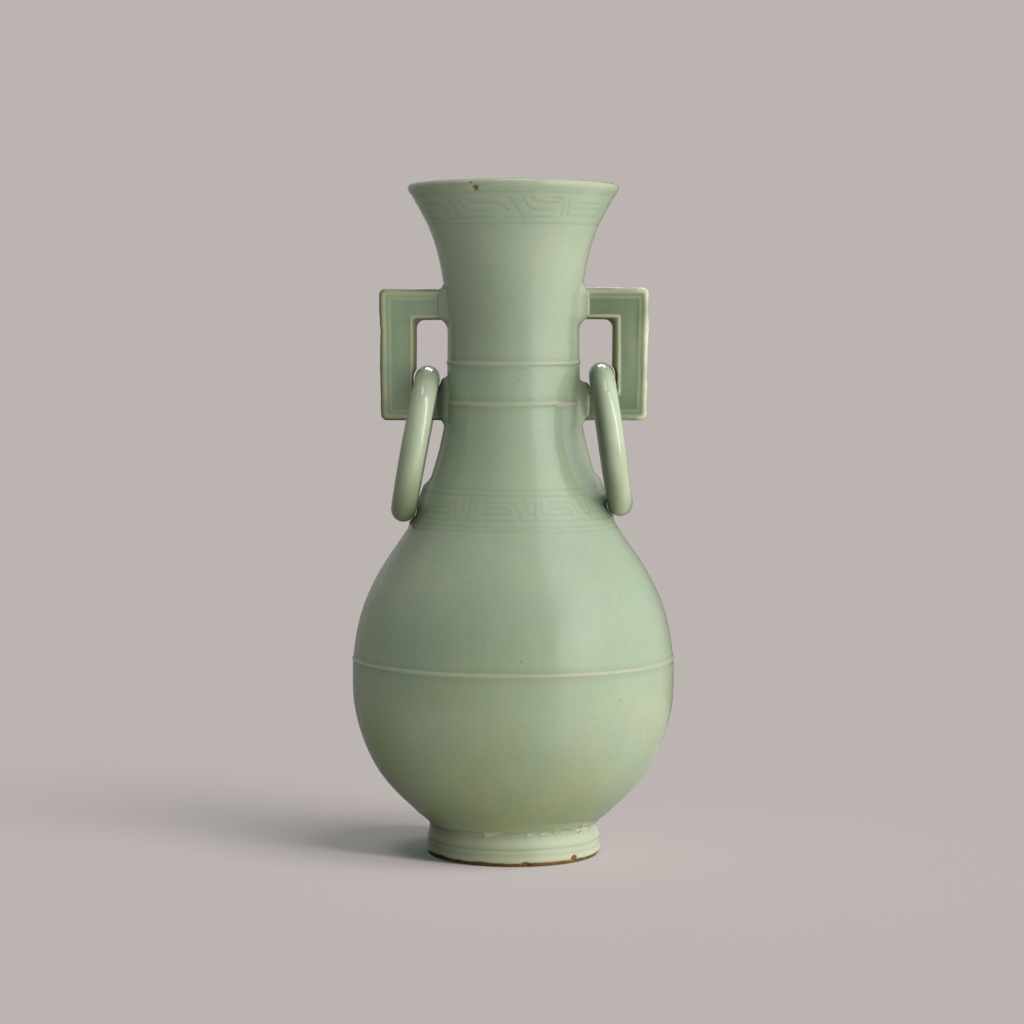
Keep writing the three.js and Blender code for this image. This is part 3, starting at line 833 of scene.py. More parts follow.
def lip_rows():
    """The rolled lip, from its underside over the top and into the mouth, with its chip and pits."""
    pts = np.array(LIP, float)
    s = np.concatenate([[0], np.cumsum(np.hypot(*np.diff(pts, axis=0).T))])
    fz, fr = spline(list(zip(s, pts[:, 0]))), spline(list(zip(s, pts[:, 1])))
    rows = []
    p = azimuths(900)
    across = (np.degrees(p) + 180) % 360 - 180
    for q in list(np.arange(0.25, 9.4, 0.25)) + list(np.arange(9.8, s[-1] - 0.3, 0.6)):
        z, r = float(fz(q)[0]), float(fr(q)[0])
        dz, dr = float(fz(q)[1]), float(fr(q)[1])
        k = math.hypot(dz, dr)
        nz, nr = -dr / k, dz / k
        d = skin_error(p, 255.0) * smooth(4, 0, q) + 0.05 * edge_run(p, q * 0.3)
        # a star-shaped chip under the lip and two pits
        arm = np.arctan2(z - 256.5, (across + 20.9) * 0.7)
        star = np.hypot((across + 20.9) * 0.7, z - 256.5) * (1 + 0.28 * np.cos(5 * arm + 0.6))
        chip = smooth(1.25, 0.75, star) * (q < 5)
        pit = smooth(0.55, 0.3, np.hypot((across + 23.4) * 0.7, z - 258.5)) * (q < 6)
        worn = smooth(0.9, 0.4, np.hypot((across - 45.0) * 0.5, (q - 6.0))) + smooth(0.8, 0.4, np.hypot((across + 118) * 0.4, (q - 6.4)))
        d = d - 0.32 * chip - 0.2 * pit - 0.1 * worn
        d = np.minimum(d, (260.0 - z) / max(nz, 1e-3) if nz > 0.05 else 9.0)
        row = dict(n=900, z=z + nz * d - MOUTH_DIP * smooth(244, 257, z) * np.sin(p) ** 2, r=r + nr * d)
        row["thin"] = np.clip(0.10 + 0.10 * bell(q, 1.3, 0.9) + 0.16 * bell(q, 6.2, 1.6) - 0.1 * smooth(8.5, 11, q), 0, 1) * (1 - chip)
        # darker on the lip's underside: painted shade, with glaze gathered in the crease
        row["pool"] = np.clip(0.28 * smooth(0.9, 0.1, q), 0, 1) * np.ones(900)
        row["bare"] = np.clip(chip * (0.75 + 0.25 * glaze_run(p, z)) + 0.9 * pit + 0.55 * worn, 0, 1)
        rows.append(row)
    return rows


def trumpet_rows():
    high = body(192.2)[0] - 0.9
    rows = [inner(190.825, 300), plain(190.825, high, 300), plain(192.2, high, 300)]
    rows += [skin(z, 300, trumpet_cut) for z in [192.22, 192.6, 193.1, 193.7] + list(np.arange(194.5, 241.6, 1.3))]
    rows += [skin(z, 900, trumpet_cut) for z in np.arange(241.9, 255.0, 0.26)]
    rows += lip_rows()
    rows += [inner(z, 300) for z in (250.4, 248.5, 246.5, 244, 241.5, 239, 236, 233, 230, 226, 222, 218, 214, 209, 204, 199, 195)]
    return rows


make("trumpet_neck_glazed", *turned(trumpet_rows()), "vase", ["trumpet_neck"], "celadon_body", neck_glaze)


# ------------------------------------------------------------------ raised ribs
def rib_rows(zc, half, proud, width, seat, soft, seed):
    """A bead of clay drawn round the vase, feathered into the skin above and below."""
    n = 600
    p = azimuths(n)
    sway = waves(seed, 6, 5, 0.05)
    offs = np.linspace(-1, 1, 33) * half
    rows = [plain(zc - half * 0.62, seat + 0.05, n)]
    for t in offs:
        z = zc + t
        r, slope = body(z)
        k = math.hypot(1, slope)
        shift = 0.22 * sway(p, 0)
        tall = proud * (1 + 0.12 * sway(p + 1.0, 3.0)) * np.exp(-np.abs((t - shift) / width) ** soft)
        d = skin_error(p, z) + tall - 0.07 * np.abs(t / half) ** 5
        d = np.minimum(d, 62.74 - r)
        rows.append(dict(n=n, z=z - slope / k * d * 0.3, r=r + d / k,
                         thin=np.clip(np.exp(-np.abs((t - shift) / (width * 0.85)) ** 2.4) * (0.62 + 0.20 * sway(p * 3, 9.0)), 0, 1),
                         pool=np.clip(0.36 * smooth(width * 0.9, width * 1.4, np.abs(t - shift)) * smooth(half, half * 0.6, abs(t)), 0, 1)))
    rows.append(plain(zc + half * 0.62, seat + 0.05, n))
    return rows


make("belly_rib_glazed", *turned(rib_rows(76.4, 2.2, 0.42, 0.66, body(74.9)[0] - 0.9, 2.0, 21)), "vase", ["belly_rib"], "celadon_pale", rib_glaze)
make("lower_neck_rib_glazed", *turned(rib_rows(175.4, 2.4, 0.50, 0.80, body(176.9)[0] - 0.9, 2.4, 22)), "vase", ["lower_neck_rib"], "celadon_pale", rib_glaze)
make("upper_neck_rib_glazed", *turned(rib_rows(190.8, 2.3, 0.40, 0.72, body(192.2)[0] - 0.9, 2.4, 23)), "vase", ["upper_neck_rib"], "celadon_pale", rib_glaze)


# ------------------------------------------------------------------ bracket handles
hand = drift(41, 9, 0.16)

# half of the section, from the middle of the outer wall over the front to the middle of the inner wall:
# (path, inset from it, depth towards the front, thin, pool, corner radius)
SECTION = [
    ("o", 0.00, 0.0, 0.04, 0.00, 2.3), ("o", 0.00, 1.2, 0.04, 0.00, 2.3), ("o", 0.02, 2.4, 0.04, 0.00, 2.3), ("o", 0.06, 3.5, 0.04, 0.00, 2.3),
    ("o", 0.14, 4.3, 0.04, 0.00, 2.2), ("o", 0.28, 4.9, 0.05, 0.00, 2.1), ("o", 0.52, 5.38, 0.08, 0.00, 1.9), ("o", 0.86, 5.71, 0.20, 0.00, 1.7),
    ("o", 1.24, 5.89, 0.44, 0.00, 1.5), ("o", 1.60, 5.95, 0.58, 0.00, 1.3), ("o", 1.92, 5.92, 0.50, 0.00, 1.2), ("o", 2.22, 5.84, 0.32, 0.05, 1.1),
    ("o", 2.52, 5.74, 0.20, 0.18, 1.0), ("o", 2.85, 5.68, 0.10, 0.28, 0.9), ("o", 3.15, 5.68, 0.12, 0.20, 0.9), ("o", 3.45, 5.72, 0.20, 0.08, 0.8),
    ("o", 3.75, 5.73, 0.23, 0.05, 0.8), ("o", 4.05, 5.67, 0.16, 0.12, 0.8), ("o", 4.40, 5.57, 0.06, 0.26, 0.8), ("o", 4.80, 5.49, 0.00, 0.34, 0.8),
    ("o", 5.20, 5.46, 0.00, 0.30, 0.8),
    ("m", 0.33, 5.47, 0.00, 0.24, 0.8), ("m", 0.66, 5.48, 0.00, 0.26, 0.8),
    ("i", 2.60, 5.48, 0.00, 0.32, 0.7), ("i", 2.28, 5.52, 0.06, 0.34, 0.7), ("i", 2.02, 5.61, 0.20, 0.20, 0.6), ("i", 1.80, 5.74, 0.40, 0.05, 0.6),
    ("i", 1.57, 5.85, 0.58, 0.00, 0.6), ("i", 1.32, 5.87, 0.60, 0.00, 0.6), ("i", 1.08, 5.77, 0.46, 0.00, 0.7), ("i", 0.84, 5.50, 0.26, 0.00, 0.9),
    ("i", 0.62, 5.07, 0.16, 0.00, 1.2), ("i", 0.44, 4.50, 0.12, 0.05, 1.7), ("i", 0.28, 3.70, 0.10, 0.10, 2.2), ("i", 0.14, 2.70, 0.10, 0.12, 2.6),
    ("i", 0.05, 1.50, 0.10, 0.12, 2.9), ("i", 0.00, 0.0, 0.10, 0.12, 3.0),
]
ARM_N, TURN_N, UP_N = 46, 14, 110
ARM_START_X = 27.4


def bracket_line(points, radius):
    """Stations along a bracket's path of four corners' points, with its two corners rounded: arm, turn, upright, turn, arm."""
    a, b, c, d = [np.array(p, float) for p in points]

    def turn(p, q, r):
        u, v = (p - q) / np.linalg.norm(p - q), (r - q) / np.linalg.norm(r - q)
        angle = math.acos(float(np.clip(u @ v, -1, 1)))
        reach = radius / math.tan(angle / 2)
        centre = q + (u + v) / np.linalg.norm(u + v) * (radius / math.sin(angle / 2))
        start, end = q + u * reach, q + v * reach
        t = np.linspace(0, 1, TURN_N + 1)[:, None]
        arc = (1 - t) ** 2 * start + 2 * t * (1 - t) * q + t**2 * end
        arc = centre + (arc - centre) / np.linalg.norm(arc - centre, axis=1)[:, None] * radius
        return start, arc, end

    s1, arc1, e1 = turn(a, b, c)
    s2, arc2, e2 = turn(b, c, d)
    line = lambda p, q, n: p + (q - p) * np.linspace(0, 1, n + 1)[:-1, None]
    return np.concatenate([line(a, s1, ARM_N), arc1[:-1], line(e1, s2, UP_N), arc2[:-1], line(e2, d, ARM_N), d[None]])


def bracket(side, size):
    u_low, u_high = size["upper"]
    l_low, l_high = size["lower"]
    ring = RIGHT_RING if side > 0 else LEFT_RING

    def path(kind, inset, radius):
        if kind == "o":
            return bracket_line([(ARM_START_X, u_high - inset), (size["outTop"] - inset, u_high - inset),
                                 (size["outLow"] - inset, l_low + inset), (ARM_START_X, l_low + inset)], radius)
        line = bracket_line([(ARM_START_X, u_low + inset), (size["inX"] + inset, u_low + inset),
                             (size["inX"] + inset, l_high - inset), (ARM_START_X, l_high - inset)], radius)
        # the upright keeps clear of the cord, and above the ring the opening is cut a little narrower
        above = np.maximum(line[:, 1] - ring["z"], 0)
        clear = ring["x"] + np.sqrt(np.maximum((ring["cord"] + 0.5) ** 2 - above**2, 0))
        bend = size["inX"] - np.minimum(size["inX"], np.maximum(size["inX"] - 1.65, clear))
        line[:, 0] -= bend + (size["ridge"] - bend) * smooth(0.30, 1.0, inset)
        return line

    last_o = path("o", 5.20, 0.8)
    first_i = path("i", 2.60, 0.7)
    loops, thin, pool = [], [], []
    for kind, inset, depth, th, po, radius in SECTION:
        line = last_o + (first_i - last_o) * inset if kind == "m" else path(kind, inset, radius)
        loops.append(np.stack([line[:, 0], np.full(len(line), -depth), line[:, 1]], 1))
        thin.append(th)
        pool.append(po)
    front = len(loops)
    for i in range(front - 2, 0, -1):
        loops.append(loops[i] * (1, -1, 1))
        thin.append(thin[i])
        pool.append(pool[i])
    grid = np.array(loops)
    count, stations = grid.shape[:2]
    co = grid.reshape(-1, 3)
    # the right-hand one is drawn, and the left-hand one turned half round
    if side < 0:
        co = co * (-1, -1, 1)
    wander = hand(co)
    co = co + wander * (0.10, 0.05, 0.09)
    # fine waver of the hand-cut outer edge
    outer = np.repeat(np.array([max(0.0, 1 - s[1] / 1.6) if s[0] == "o" else 0.0 for s in SECTION] + [max(0.0, 1 - SECTION[i][1] / 1.6) if SECTION[i][0] == "o" else 0.0 for i in range(front - 2, 0, -1)]), stations)
    co[:, 0] += side * outer * (0.06 * np.sin(co[:, 2] * 0.31 + 1.1 * side) + 0.035 * np.sin(co[:, 2] * 0.83 + 2.0)) * smooth(45, 49, np.abs(co[:, 0]))
    if side < 0:
        nick = np.exp(-(((co[:, 2] - 203.2) / 1.1) ** 2) - ((co[:, 1] + 3.0) / 3.0) ** 2) * smooth(48.5, 50.5, -co[:, 0])
        co[:, 0] += 0.45 * nick
    i, j = np.meshgrid(np.arange(count), np.arange(stations - 1), indexing="ij")
    i2 = (i + 1) % count
    quads = np.stack([i * stations + j, i * stations + j + 1, i2 * stations + j + 1, i2 * stations + j], -1).reshape(-1, 4)
    vv = np.linspace(0.002, 0.998, count + 1)
    uu = np.linspace(0.002, 0.998, stations)
    uv = np.stack([np.stack([uu[j], vv[i]], -1), np.stack([uu[j + 1], vv[i]], -1), np.stack([uu[j + 1], vv[i + 1]], -1), np.stack([uu[j], vv[i + 1]], -1)], -2).reshape(-1, 4, 2)
    caps = [[k * stations for k in range(count)], [k * stations + stations - 1 for k in range(count)][::-1]]
    streak = drift(43, 7, 0.35)(co)[:, 0]
    loop_of = SECTION + [SECTION[q] for q in range(front - 2, 0, -1)]
    rim = np.repeat([smooth(2.4, 1.2, q[1]) if q[0] == "o" else 0.0 for q in loop_of], stations)
    wall = np.repeat([smooth(1.0, 0.2, q[1]) if q[0] == "o" else 0.0 for q in loop_of], stations)
    hole = np.repeat([smooth(1.0, 0.5, q[1]) if q[0] == "i" else 0.0 for q in loop_of], stations)
    inner_edge = np.repeat([float(bell(q[1], 1.2, 0.5)) if q[0] == "i" else 0.0 for q in loop_of], stations)
    reach, up = np.abs(co[:, 0]), co[:, 2]
    thinned = np.repeat(thin, stations) * (0.90 + 0.28 * streak)
    low_root = smooth(l_high + 3, l_high - 1, up) * smooth(36.0, 28.6, reach)
    upright = smooth(46.5, 49.0, reach)
    if side > 0:  # the right-hand edge is paler along the upright: pale thin glaze with a painted highlight where the light from the right falls on it
        thinned = thinned + 0.75 * rim * (0.85 + 0.3 * streak) * upright
        thinned = thinned + 0.30 * inner_edge
        # painted shade in the opening and at the lower arm's root
        dark = 0.42 * hole + 0.25 * low_root
        thinned = (thinned + 0.22 * rim * (1 - upright)) * (1 - 0.5 * smooth(l_low + 4, l_low, up) * (1 - upright))
        bare = 0.42 * hole + 0.12 * inner_edge + 0.10 * rim * (1 - upright)
    else:
        thinned = thinned + 0.25 * inner_edge
        # painted shade in the opening, heavy at the lower arm's root and on the outer wall; the wall's extra clay-brown
        # is painted shade too
        dark = 0.34 * hole + 0.66 * low_root + 0.50 * wall
        bare = 0.26 * hole + 0.10 * inner_edge + 0.36 * wall + 0.10 * rim
    attrs = {
        "thin": np.clip(thinned * (1 - 0.7 * low_root), 0, 1),
        "pool": np.clip((1.9 if side > 0 else 1.3) * np.repeat(pool, stations) * (0.8 + 0.6 * drift(44, 7, 0.2)(co)[:, 1]) + 0.25 * smooth(l_high + 2, l_low + 2, up), 0, 1),
        "bare": np.clip(bare, 0, 1),
        "dark": np.clip(dark, 0, 1),
    }
    name = ("right" if side > 0 else "left") + "_handle"
    return make(name + "_glazed", co, quads, [], attrs, (uv, np.zeros((0, 3, 2))), "vase", [name], "celadon_handle", right_handle_glaze if side > 0 else left_handle_glaze, caps=caps, crease=60)


bracket(1, RIGHT_BRACKET)
bracket(-1, LEFT_BRACKET)


# ------------------------------------------------------------------ luting pads at the arms' roots
def pad(side, name, z_low, z_high, up, down, dark):
    """A fillet of clay, from inside the arm's end out onto the neck: how far it climbs and drops there."""
    hy, hz, rc = 5.4, (z_high - z_low) / 2 - 0.7, 2.0
    zc = (z_low + z_high) / 2
    ring, normal = [], []
    for cy, cz, a0 in ((1, 1, 0), (-1, 1, 90), (-1, -1, 180), (1, -1, 270)):
        for a in np.radians(a0 + np.linspace(0, 90, 9)):
            ring.append((cy * (hy - rc) + rc * math.cos(a), cz * (hz - rc) + rc * math.sin(a)))
            normal.append((math.cos(a), math.sin(a)))
        nxt = {0: ((-(hy - rc)), hz), 90: (-hy, -(hz - rc)), 180: ((hy - rc), -hz), 270: (hy, hz - rc)}[a0]
        last, nl = np.array(ring[-1]), np.array(normal[-1])
        for t in np.linspace(0, 1, 10)[1:-1]:
            ring.append(tuple(last + (np.array(nxt) - last) * t))
            normal.append(tuple(nl))
    ring, normal = np.array(ring), np.array(normal)
    count, steps = len(ring), 40
    stations = []
    thin, pool, painted_shade = [], [], []
    for t in np.sin(np.linspace(0, np.pi / 2, steps)):
        round_off = 1 - math.sqrt(max(0.0, 1 - t**2))
        climb = np.interp(t, *zip(*up)) if isinstance(up, list) else (up + 0.7) * round_off
        lift = np.where(normal[:, 1] > 0, climb, (down + 0.7) * round_off)
        bulge = 0.80 * float(smooth(0.16, 0.32, t)) + 2.4 * round_off
        yz = ring + normal * np.stack([np.full(count, bulge), lift], 1)
        z = zc + yz[:, 1]
        r, _ = outline(z)
        far = np.sqrt(np.maximum(r**2 - yz[:, 0] ** 2, 1.0)) - 0.25
        x = 30.2 + (far - 30.2) * t
        stations.append(np.stack([x, yz[:, 0], z], 1))
        thin.append(np.full(count, 0.06 + 0.14 * float(bell(t, 0.62, 0.2))))
        pool.append(np.full(count, 0.12 * float(smooth(0.75, 1.0, t))))
        # painted shade at the arm's root, fading out onto the neck
        painted_shade.append(dark * smooth(1.0, 0.45, t) * np.ones(count))
    grid = np.array(stations)
    co = grid.reshape(-1, 3)
    if side < 0:
        co = co * (-1, -1, 1)
    co = co + hand(co) * (0.05, 0.05, 0.09)
    i, j = np.meshgrid(np.arange(steps - 1), np.arange(count), indexing="ij")
    j2 = (j + 1) % count
    quads = np.stack([i * count + j, i * count + j2, (i + 1) * count + j2, (i + 1) * count + j], -1).reshape(-1, 4)
    uu, vv = np.linspace(0.002, 0.998, count + 1), np.linspace(0.002, 0.998, steps)
    uv = np.stack([np.stack([uu[j], vv[i]], -1), np.stack([uu[j + 1], vv[i]], -1), np.stack([uu[j + 1], vv[i + 1]], -1), np.stack([uu[j], vv[i + 1]], -1)], -2).reshape(-1, 4, 2)
    caps = [list(range(count))[::-1], [(steps - 1) * count + k for k in range(count)]]
    attrs = {"thin": np.concatenate(thin), "pool": np.concatenate(pool), "dark": np.concatenate(painted_shade)}
    make(name + "_glazed", co, quads, [], attrs, (uv, np.zeros((0, 3, 2))), "vase", [name], "celadon_body", neck_glaze, caps=caps, crease=60)


# how the web above each lower arm climbs past the ring to the neck
WEB = {
    "left": [(0, 0.3), (0.16, 2.2), (0.26, 2.9), (0.34, 3.5), (0.40, 4.1), (0.46, 5.0), (0.52, 5.9), (0.62, 6.35), (0.8, 6.7), (0.92, 7.2), (1, 8.0)],
    "right": [(0, 0.6), (0.16, 2.5), (0.26, 3.3), (0.36, 3.7), (0.55, 3.95), (0.75, 4.3), (0.9, 5.0), (1, 6.2)],
}
# the last number is the painted shade at each lower lug's root, far heavier on the left; the upper lugs get a little
for label, sign, size, dark in (("right", 1, RIGHT_BRACKET, 0.2), ("left", -1, LEFT_BRACKET, 0.75)):
    pad(sign, label + "_upper_lug", *size["upper"], 4.0, 4.7, 0.1)
    pad(sign, label + "_lower_lug", *size["lower"], WEB[label], 4.2, dark)


# ------------------------------------------------------------------ loose rings
def loose_ring(name, side, radius, x, z, lean, cord):
    """A hand-rolled cord of clay closed into a ring, hung over the arm and leaning on the shoulder."""
    around, section = 216, 56
    a = np.linspace(0, 2 * np.pi, around, endpoint=False)[:, None]
    b = np.linspace(0, 2 * np.pi, section, endpoint=False)[None, :]
    thick = cord * (1 - 0.010 + 0.008 * np.cos(2 * a + 0.7 * side) + 0.005 * np.cos(5 * a + 1.9) + 0.004 * np.cos(2 * b + 3 * a))
    wide = radius + 0.10 * np.cos(2 * a + 0.9) * (1 - np.cos(a)) / 2
    out = wide + thick * np.cos(b)
    local = np.stack([np.broadcast_to(thick * np.sin(b), out.shape) + 0.18 * np.sin(a) * np.sin(a) * np.cos(a + side), out * np.sin(a), out * np.cos(a) - radius], -1).reshape(-1, 3)
    turn = -side * math.radians(lean)
    c, s = math.cos(turn), math.sin(turn)
    co = np.stack([side * x + local[:, 0] * c + local[:, 2] * s, local[:, 1], z - local[:, 0] * s + local[:, 2] * c], 1)
    co[:, 0] += (0.020 if side > 0 else -0.010) * co[:, 1]  # turned a touch about the upright
    i, j = np.meshgrid(np.arange(around), np.arange(section), indexing="ij")
    i2, j2 = (i + 1) % around, (j + 1) % section
    quads = np.stack([i * section + j, i2 * section + j, i2 * section + j2, i * section + j2], -1).reshape(-1, 4)
    uu, vv = np.linspace(0, 1, around + 1), np.linspace(0, 1, section + 1)
    uv = np.stack([np.stack([uu[i], vv[j]], -1), np.stack([uu[i + 1], vv[j]], -1), np.stack([uu[i + 1], vv[j + 1]], -1), np.stack([uu[i], vv[j + 1]], -1)], -2).reshape(-1, 4, 2)
    mottle = drift(45 + side, 8, 0.22)(co)
    # painted shade on the left of the cord, the side away from the light: strong on the right-hand ring and reaching
    # further across its lower part, light on the left-hand ring
    across = (np.sin(b) * c + np.cos(b) * np.cos(a) * s).reshape(-1)
    start = 0.12 + (0.38 if side > 0 else 0.13) * smooth(153, 141, co[:, 2])
    shade = (0.80 if side > 0 else 0.20) * smooth(0, 1, (start - across) / (start + 0.85))
    attrs = {"thin": np.clip(0.10 + 0.12 * mottle[:, 0], 0, 1), "pool": np.clip(0.12 * mottle[:, 1], 0, 1), "dark": shade}
    make(name + "_glazed", co, quads, [], attrs, (uv, np.zeros((0, 3, 2))), name, [name], "celadon_ring", ring_glaze)


loose_ring("left_ring", **LEFT_RING)
loose_ring("right_ring", **RIGHT_RING)


# ------------------------------------------------------------------ stage, light and camera
BACK = srgb(188, 180, 177)
PAPER = 0.45  # the paper's albedo over the colour it shows

floor_mesh = bpy.data.meshes.new("floor")
floor_mesh.from_pydata([(-30, -30, 0), (30, -30, 0), (30, 30, 0), (-30, 30, 0)], [], [(0, 1, 2, 3)])
floor = bpy.data.objects.new("floor", floor_mesh)
bpy.context.scene.collection.objects.link(floor)
paper = bpy.data.materials.new("pale_paper")
paper.use_nodes = True
paper.node_tree.nodes["Principled BSDF"].inputs["Base Color"].default_value = [PAPER * c for c in BACK[:3]] + [1]
paper.node_tree.nodes["Principled BSDF"].inputs["Roughness"].default_value = 1.0
paper.node_tree.nodes["Principled BSDF"].inputs["Specular IOR Level"].default_value = 0.0
floor_mesh.materials.append(paper)
floor_set = bpy.data.collections.new("Floor")
bpy.context.scene.collection.children.link(floor_set)
floor_set.objects.link(floor)


def aim(lamp, target):
    from mathutils import Vector

    lamp.rotation_mode = "QUATERNION"
    lamp.rotation_quaternion = (Vector(target) - lamp.location).to_track_quat("-Z", "Y")


def soft(name, place, target, wide, tall, radiance, only=None):
    """A soft panel that lights the vase, of even brightness."""
    data = bpy.data.lights.new(name, "AREA")
    data.shape, data.size, data.size_y = "RECTANGLE", wide, tall
    data.energy = math.pi * wide * tall * radiance
    lamp = bpy.data.objects.new(name, data)
    bpy.context.scene.collection.objects.link(lamp)
    lamp.location = place
    aim(lamp, target)
    lamp.visible_camera = False
    lamp.light_linking.receiver_collection = only or vase_set
    lamp.light_linking.blocker_collection = vase_set
    return lamp


# the studio's light: a tall round wall that glows softly, brightest at the right like a large softbox,
# given by height in metres and (azimuth from the front towards the right, brightness)
WALL = [
    (-1.50, [(-130, 0.00), (-15, 0.04), (24, 0.07), (45, 0.14), (66, 0.16), (100, 0.14), (140, 0.00)]),
    (-0.90, [(-130, 0.00), (-65, 0.08), (-15, 0.14), (24, 0.32), (36, 0.48), (45, 0.54), (66, 0.58), (100, 0.50), (140, 0.05)]),
    (-0.45, [(-130, 0.00), (-65, 0.18), (-15, 0.30), (24, 0.66), (30, 0.78), (36, 1.12), (45, 1.22), (66, 1.28), (100, 1.12), (140, 0.10)]),
    (0.00, [(-165, 0.22), (-130, 0.20), (-95, 0.15), (-40, 0.11), (5, 0.45), (24, 0.82), (29, 0.95), (35, 1.80), (45, 1.92), (66, 2.02), (100, 1.34), (140, 0.35), (165, 0.12)]),
    (0.35, [(-165, 0.45), (-130, 0.16), (-95, 0.18), (-65, 0.25), (-40, 0.14), (-15, 0.31), (5, 0.56), (17, 0.67), (26, 0.84), (30, 1.00), (34.5, 2.10), (40, 2.36), (52, 2.55), (66, 2.50), (82, 2.08), (100, 1.40), (125, 0.98), (155, 0.15)]),
    (0.90, [(-165, 0.20), (-130, 0.24), (-95, 0.42), (-65, 0.40), (-40, 0.26), (-15, 0.39), (5, 0.60), (17, 0.68), (28, 0.88), (34.5, 1.05), (40.5, 2.14), (52, 2.62), (66, 2.60), (82, 2.10), (100, 1.35), (125, 0.75), (155, 0.18)]),
    (1.60, [(-130, 0.46), (-65, 0.53), (-15, 0.55), (17, 0.74), (28, 0.92), (36.5, 1.10), (43.5, 1.92), (56, 2.20), (82, 1.94), (125, 1.14)]),
    (2.60, [(-130, 0.62), (-40, 0.62), (17, 0.87), (30, 1.00), (38, 1.12), (46, 1.55), (62, 1.66), (100, 1.46), (160, 1.10)]),
]
# the bright middle of that softbox, which only the glaze's gloss shows
BOX = [
    (0.10, [(0, 0.0)]),
    (0.30, [(28, 0.0), (33.5, 1.2), (58, 1.2), (66, 0.0)]),
    (0.50, [(29.5, 0.0), (35, 0.9), (59, 0.9), (68, 0.0)]),
    (0.75, [(32, 0.0), (38, 0.45), (62, 0.45), (74, 0.0)]),
    (1.20, [(36, 0.0), (42, 0.40), (66, 0.40), (84, 0.0)]),
    (2.30, [(38, 0.0), (45, 0.35), (70, 0.35), (90, 0.0)]),
    (2.60, [(0, 0.0)]),
]
# and what of it reaches the foot, which stands in its own shadow on the left
FOOT_WALL = [
    (-0.45, [(-130, 0.00), (-65, 0.00), (-15, 0.00), (24, 0.55), (45, 1.95), (66, 2.00), (100, 1.22), (140, 0.20)]),
    (0.00, [(-95, 0.00), (-40, 0.00), (5, 0.54), (24, 1.12), (40, 2.62), (66, 2.27), (100, 1.21), (140, 0.51)]),
    (0.35, [(-165, 0.19), (-130, 0.03), (-95, 0.00), (-65, 0.00), (-40, 0.14), (-15, 0.39), (5, 0.66), (17, 1.12), (24, 1.39), (31, 2.09), (40, 2.52), (52, 2.65), (66, 2.27), (82, 1.78), (100, 1.35), (125, 1.01), (155, 0.82)]),
    (0.90, [(-165, 0.06), (-130, 0.00), (-95, 0.00), (-65, 0.00), (-40, 0.24), (-15, 0.24), (5, 0.46), (17, 0.71), (24, 1.02), (31, 1.50), (40, 2.43), (52, 2.30), (66, 2.11), (82, 1.72), (100, 1.34), (125, 1.07), (155, 0.94)]),
    (1.60, [(-130, 0.00), (-65, 0.00), (-15, 0.00), (17, 0.27), (31, 1.55), (52, 1.53), (82, 1.35), (125, 1.14)]),
    (2.60, [(-130, 0.00), (-40, 0.00), (17, 0.11), (52, 0.88), (100, 0.88), (160, 0.85)]),
]
WALL_HIGH, REACH = 3.2, 1.2


def glow_wall(name, bands, reach, receivers, low=-0.7):
    """A round wall that gives off the light of a table of brightness, for the pieces in receivers."""
    around = np.arange(-180, 180.1, 1.5)
    rows = np.unique(np.concatenate([np.linspace(a, b, 5) for a, b in zip([low] + [q[0] for q in bands], [q[0] for q in bands] + [WALL_HIGH])]))
    levels = []
    for _, knots in bands:
        k = np.array([q[0] for q in knots], float)
        v = np.array([q[1] for q in knots], float)
        levels.append(np.interp(around, np.concatenate([k - 360, k, k + 360]), np.tile(v, 3)))
    levels = np.array(levels)
    heights = [q[0] for q in bands]
    glow = np.stack([np.interp(rows, heights, levels[:, c]) for c in range(len(around))], 0)
    a = np.radians(around)[:, None]
    co = np.stack(np.broadcast_arrays(reach * np.sin(a), -reach * np.cos(a), rows[None, :]), -1).reshape(-1, 3)
    n = len(rows)
    faces = [(i * n + j, (i + 1) * n + j, (i + 1) * n + j + 1, i * n + j + 1) for i in range(len(around) - 1) for j in range(n - 1)]
    mesh = bpy.data.meshes.new(name)
    mesh.from_pydata(co.tolist(), [], faces)
    layer = mesh.attributes.new("glow", "FLOAT", "POINT")
    layer.data.foreach_set("value", glow.reshape(-1).astype(np.float32))
    mesh.materials.append(glow_material)
    wall = bpy.data.objects.new(name, mesh)
    bpy.context.scene.collection.objects.link(wall)
    wall.visible_camera = wall.visible_shadow = False
    wall.light_linking.receiver_collection = receivers
    wall.light_linking.blocker_collection = vase_set
    return wall


glow_material = bpy.data.materials.new("studio_glow")
glow_material.use_nodes = True
glow_tree = glow_material.node_tree
glow_tree.nodes.clear()
glow_out, glow_add = glow_tree.nodes.new("ShaderNodeOutputMaterial"), glow_tree.nodes.new("ShaderNodeAddShader")
glow_light, glow_clear = glow_tree.nodes.new("ShaderNodeEmission"), glow_tree.nodes.new("ShaderNodeBsdfTransparent")
glow_field = glow_tree.nodes.new("ShaderNodeAttribute")
glow_field.attribute_name = "glow"
glow_tree.links.new(glow_field.outputs["Fac"], glow_light.inputs["Strength"])
glow_tree.links.new(glow_light.outputs[0], glow_add.inputs[0])
glow_tree.links.new(glow_clear.outputs[0], glow_add.inputs[1])
glow_tree.links.new(glow_add.outputs[0], glow_out.inputs["Surface"])

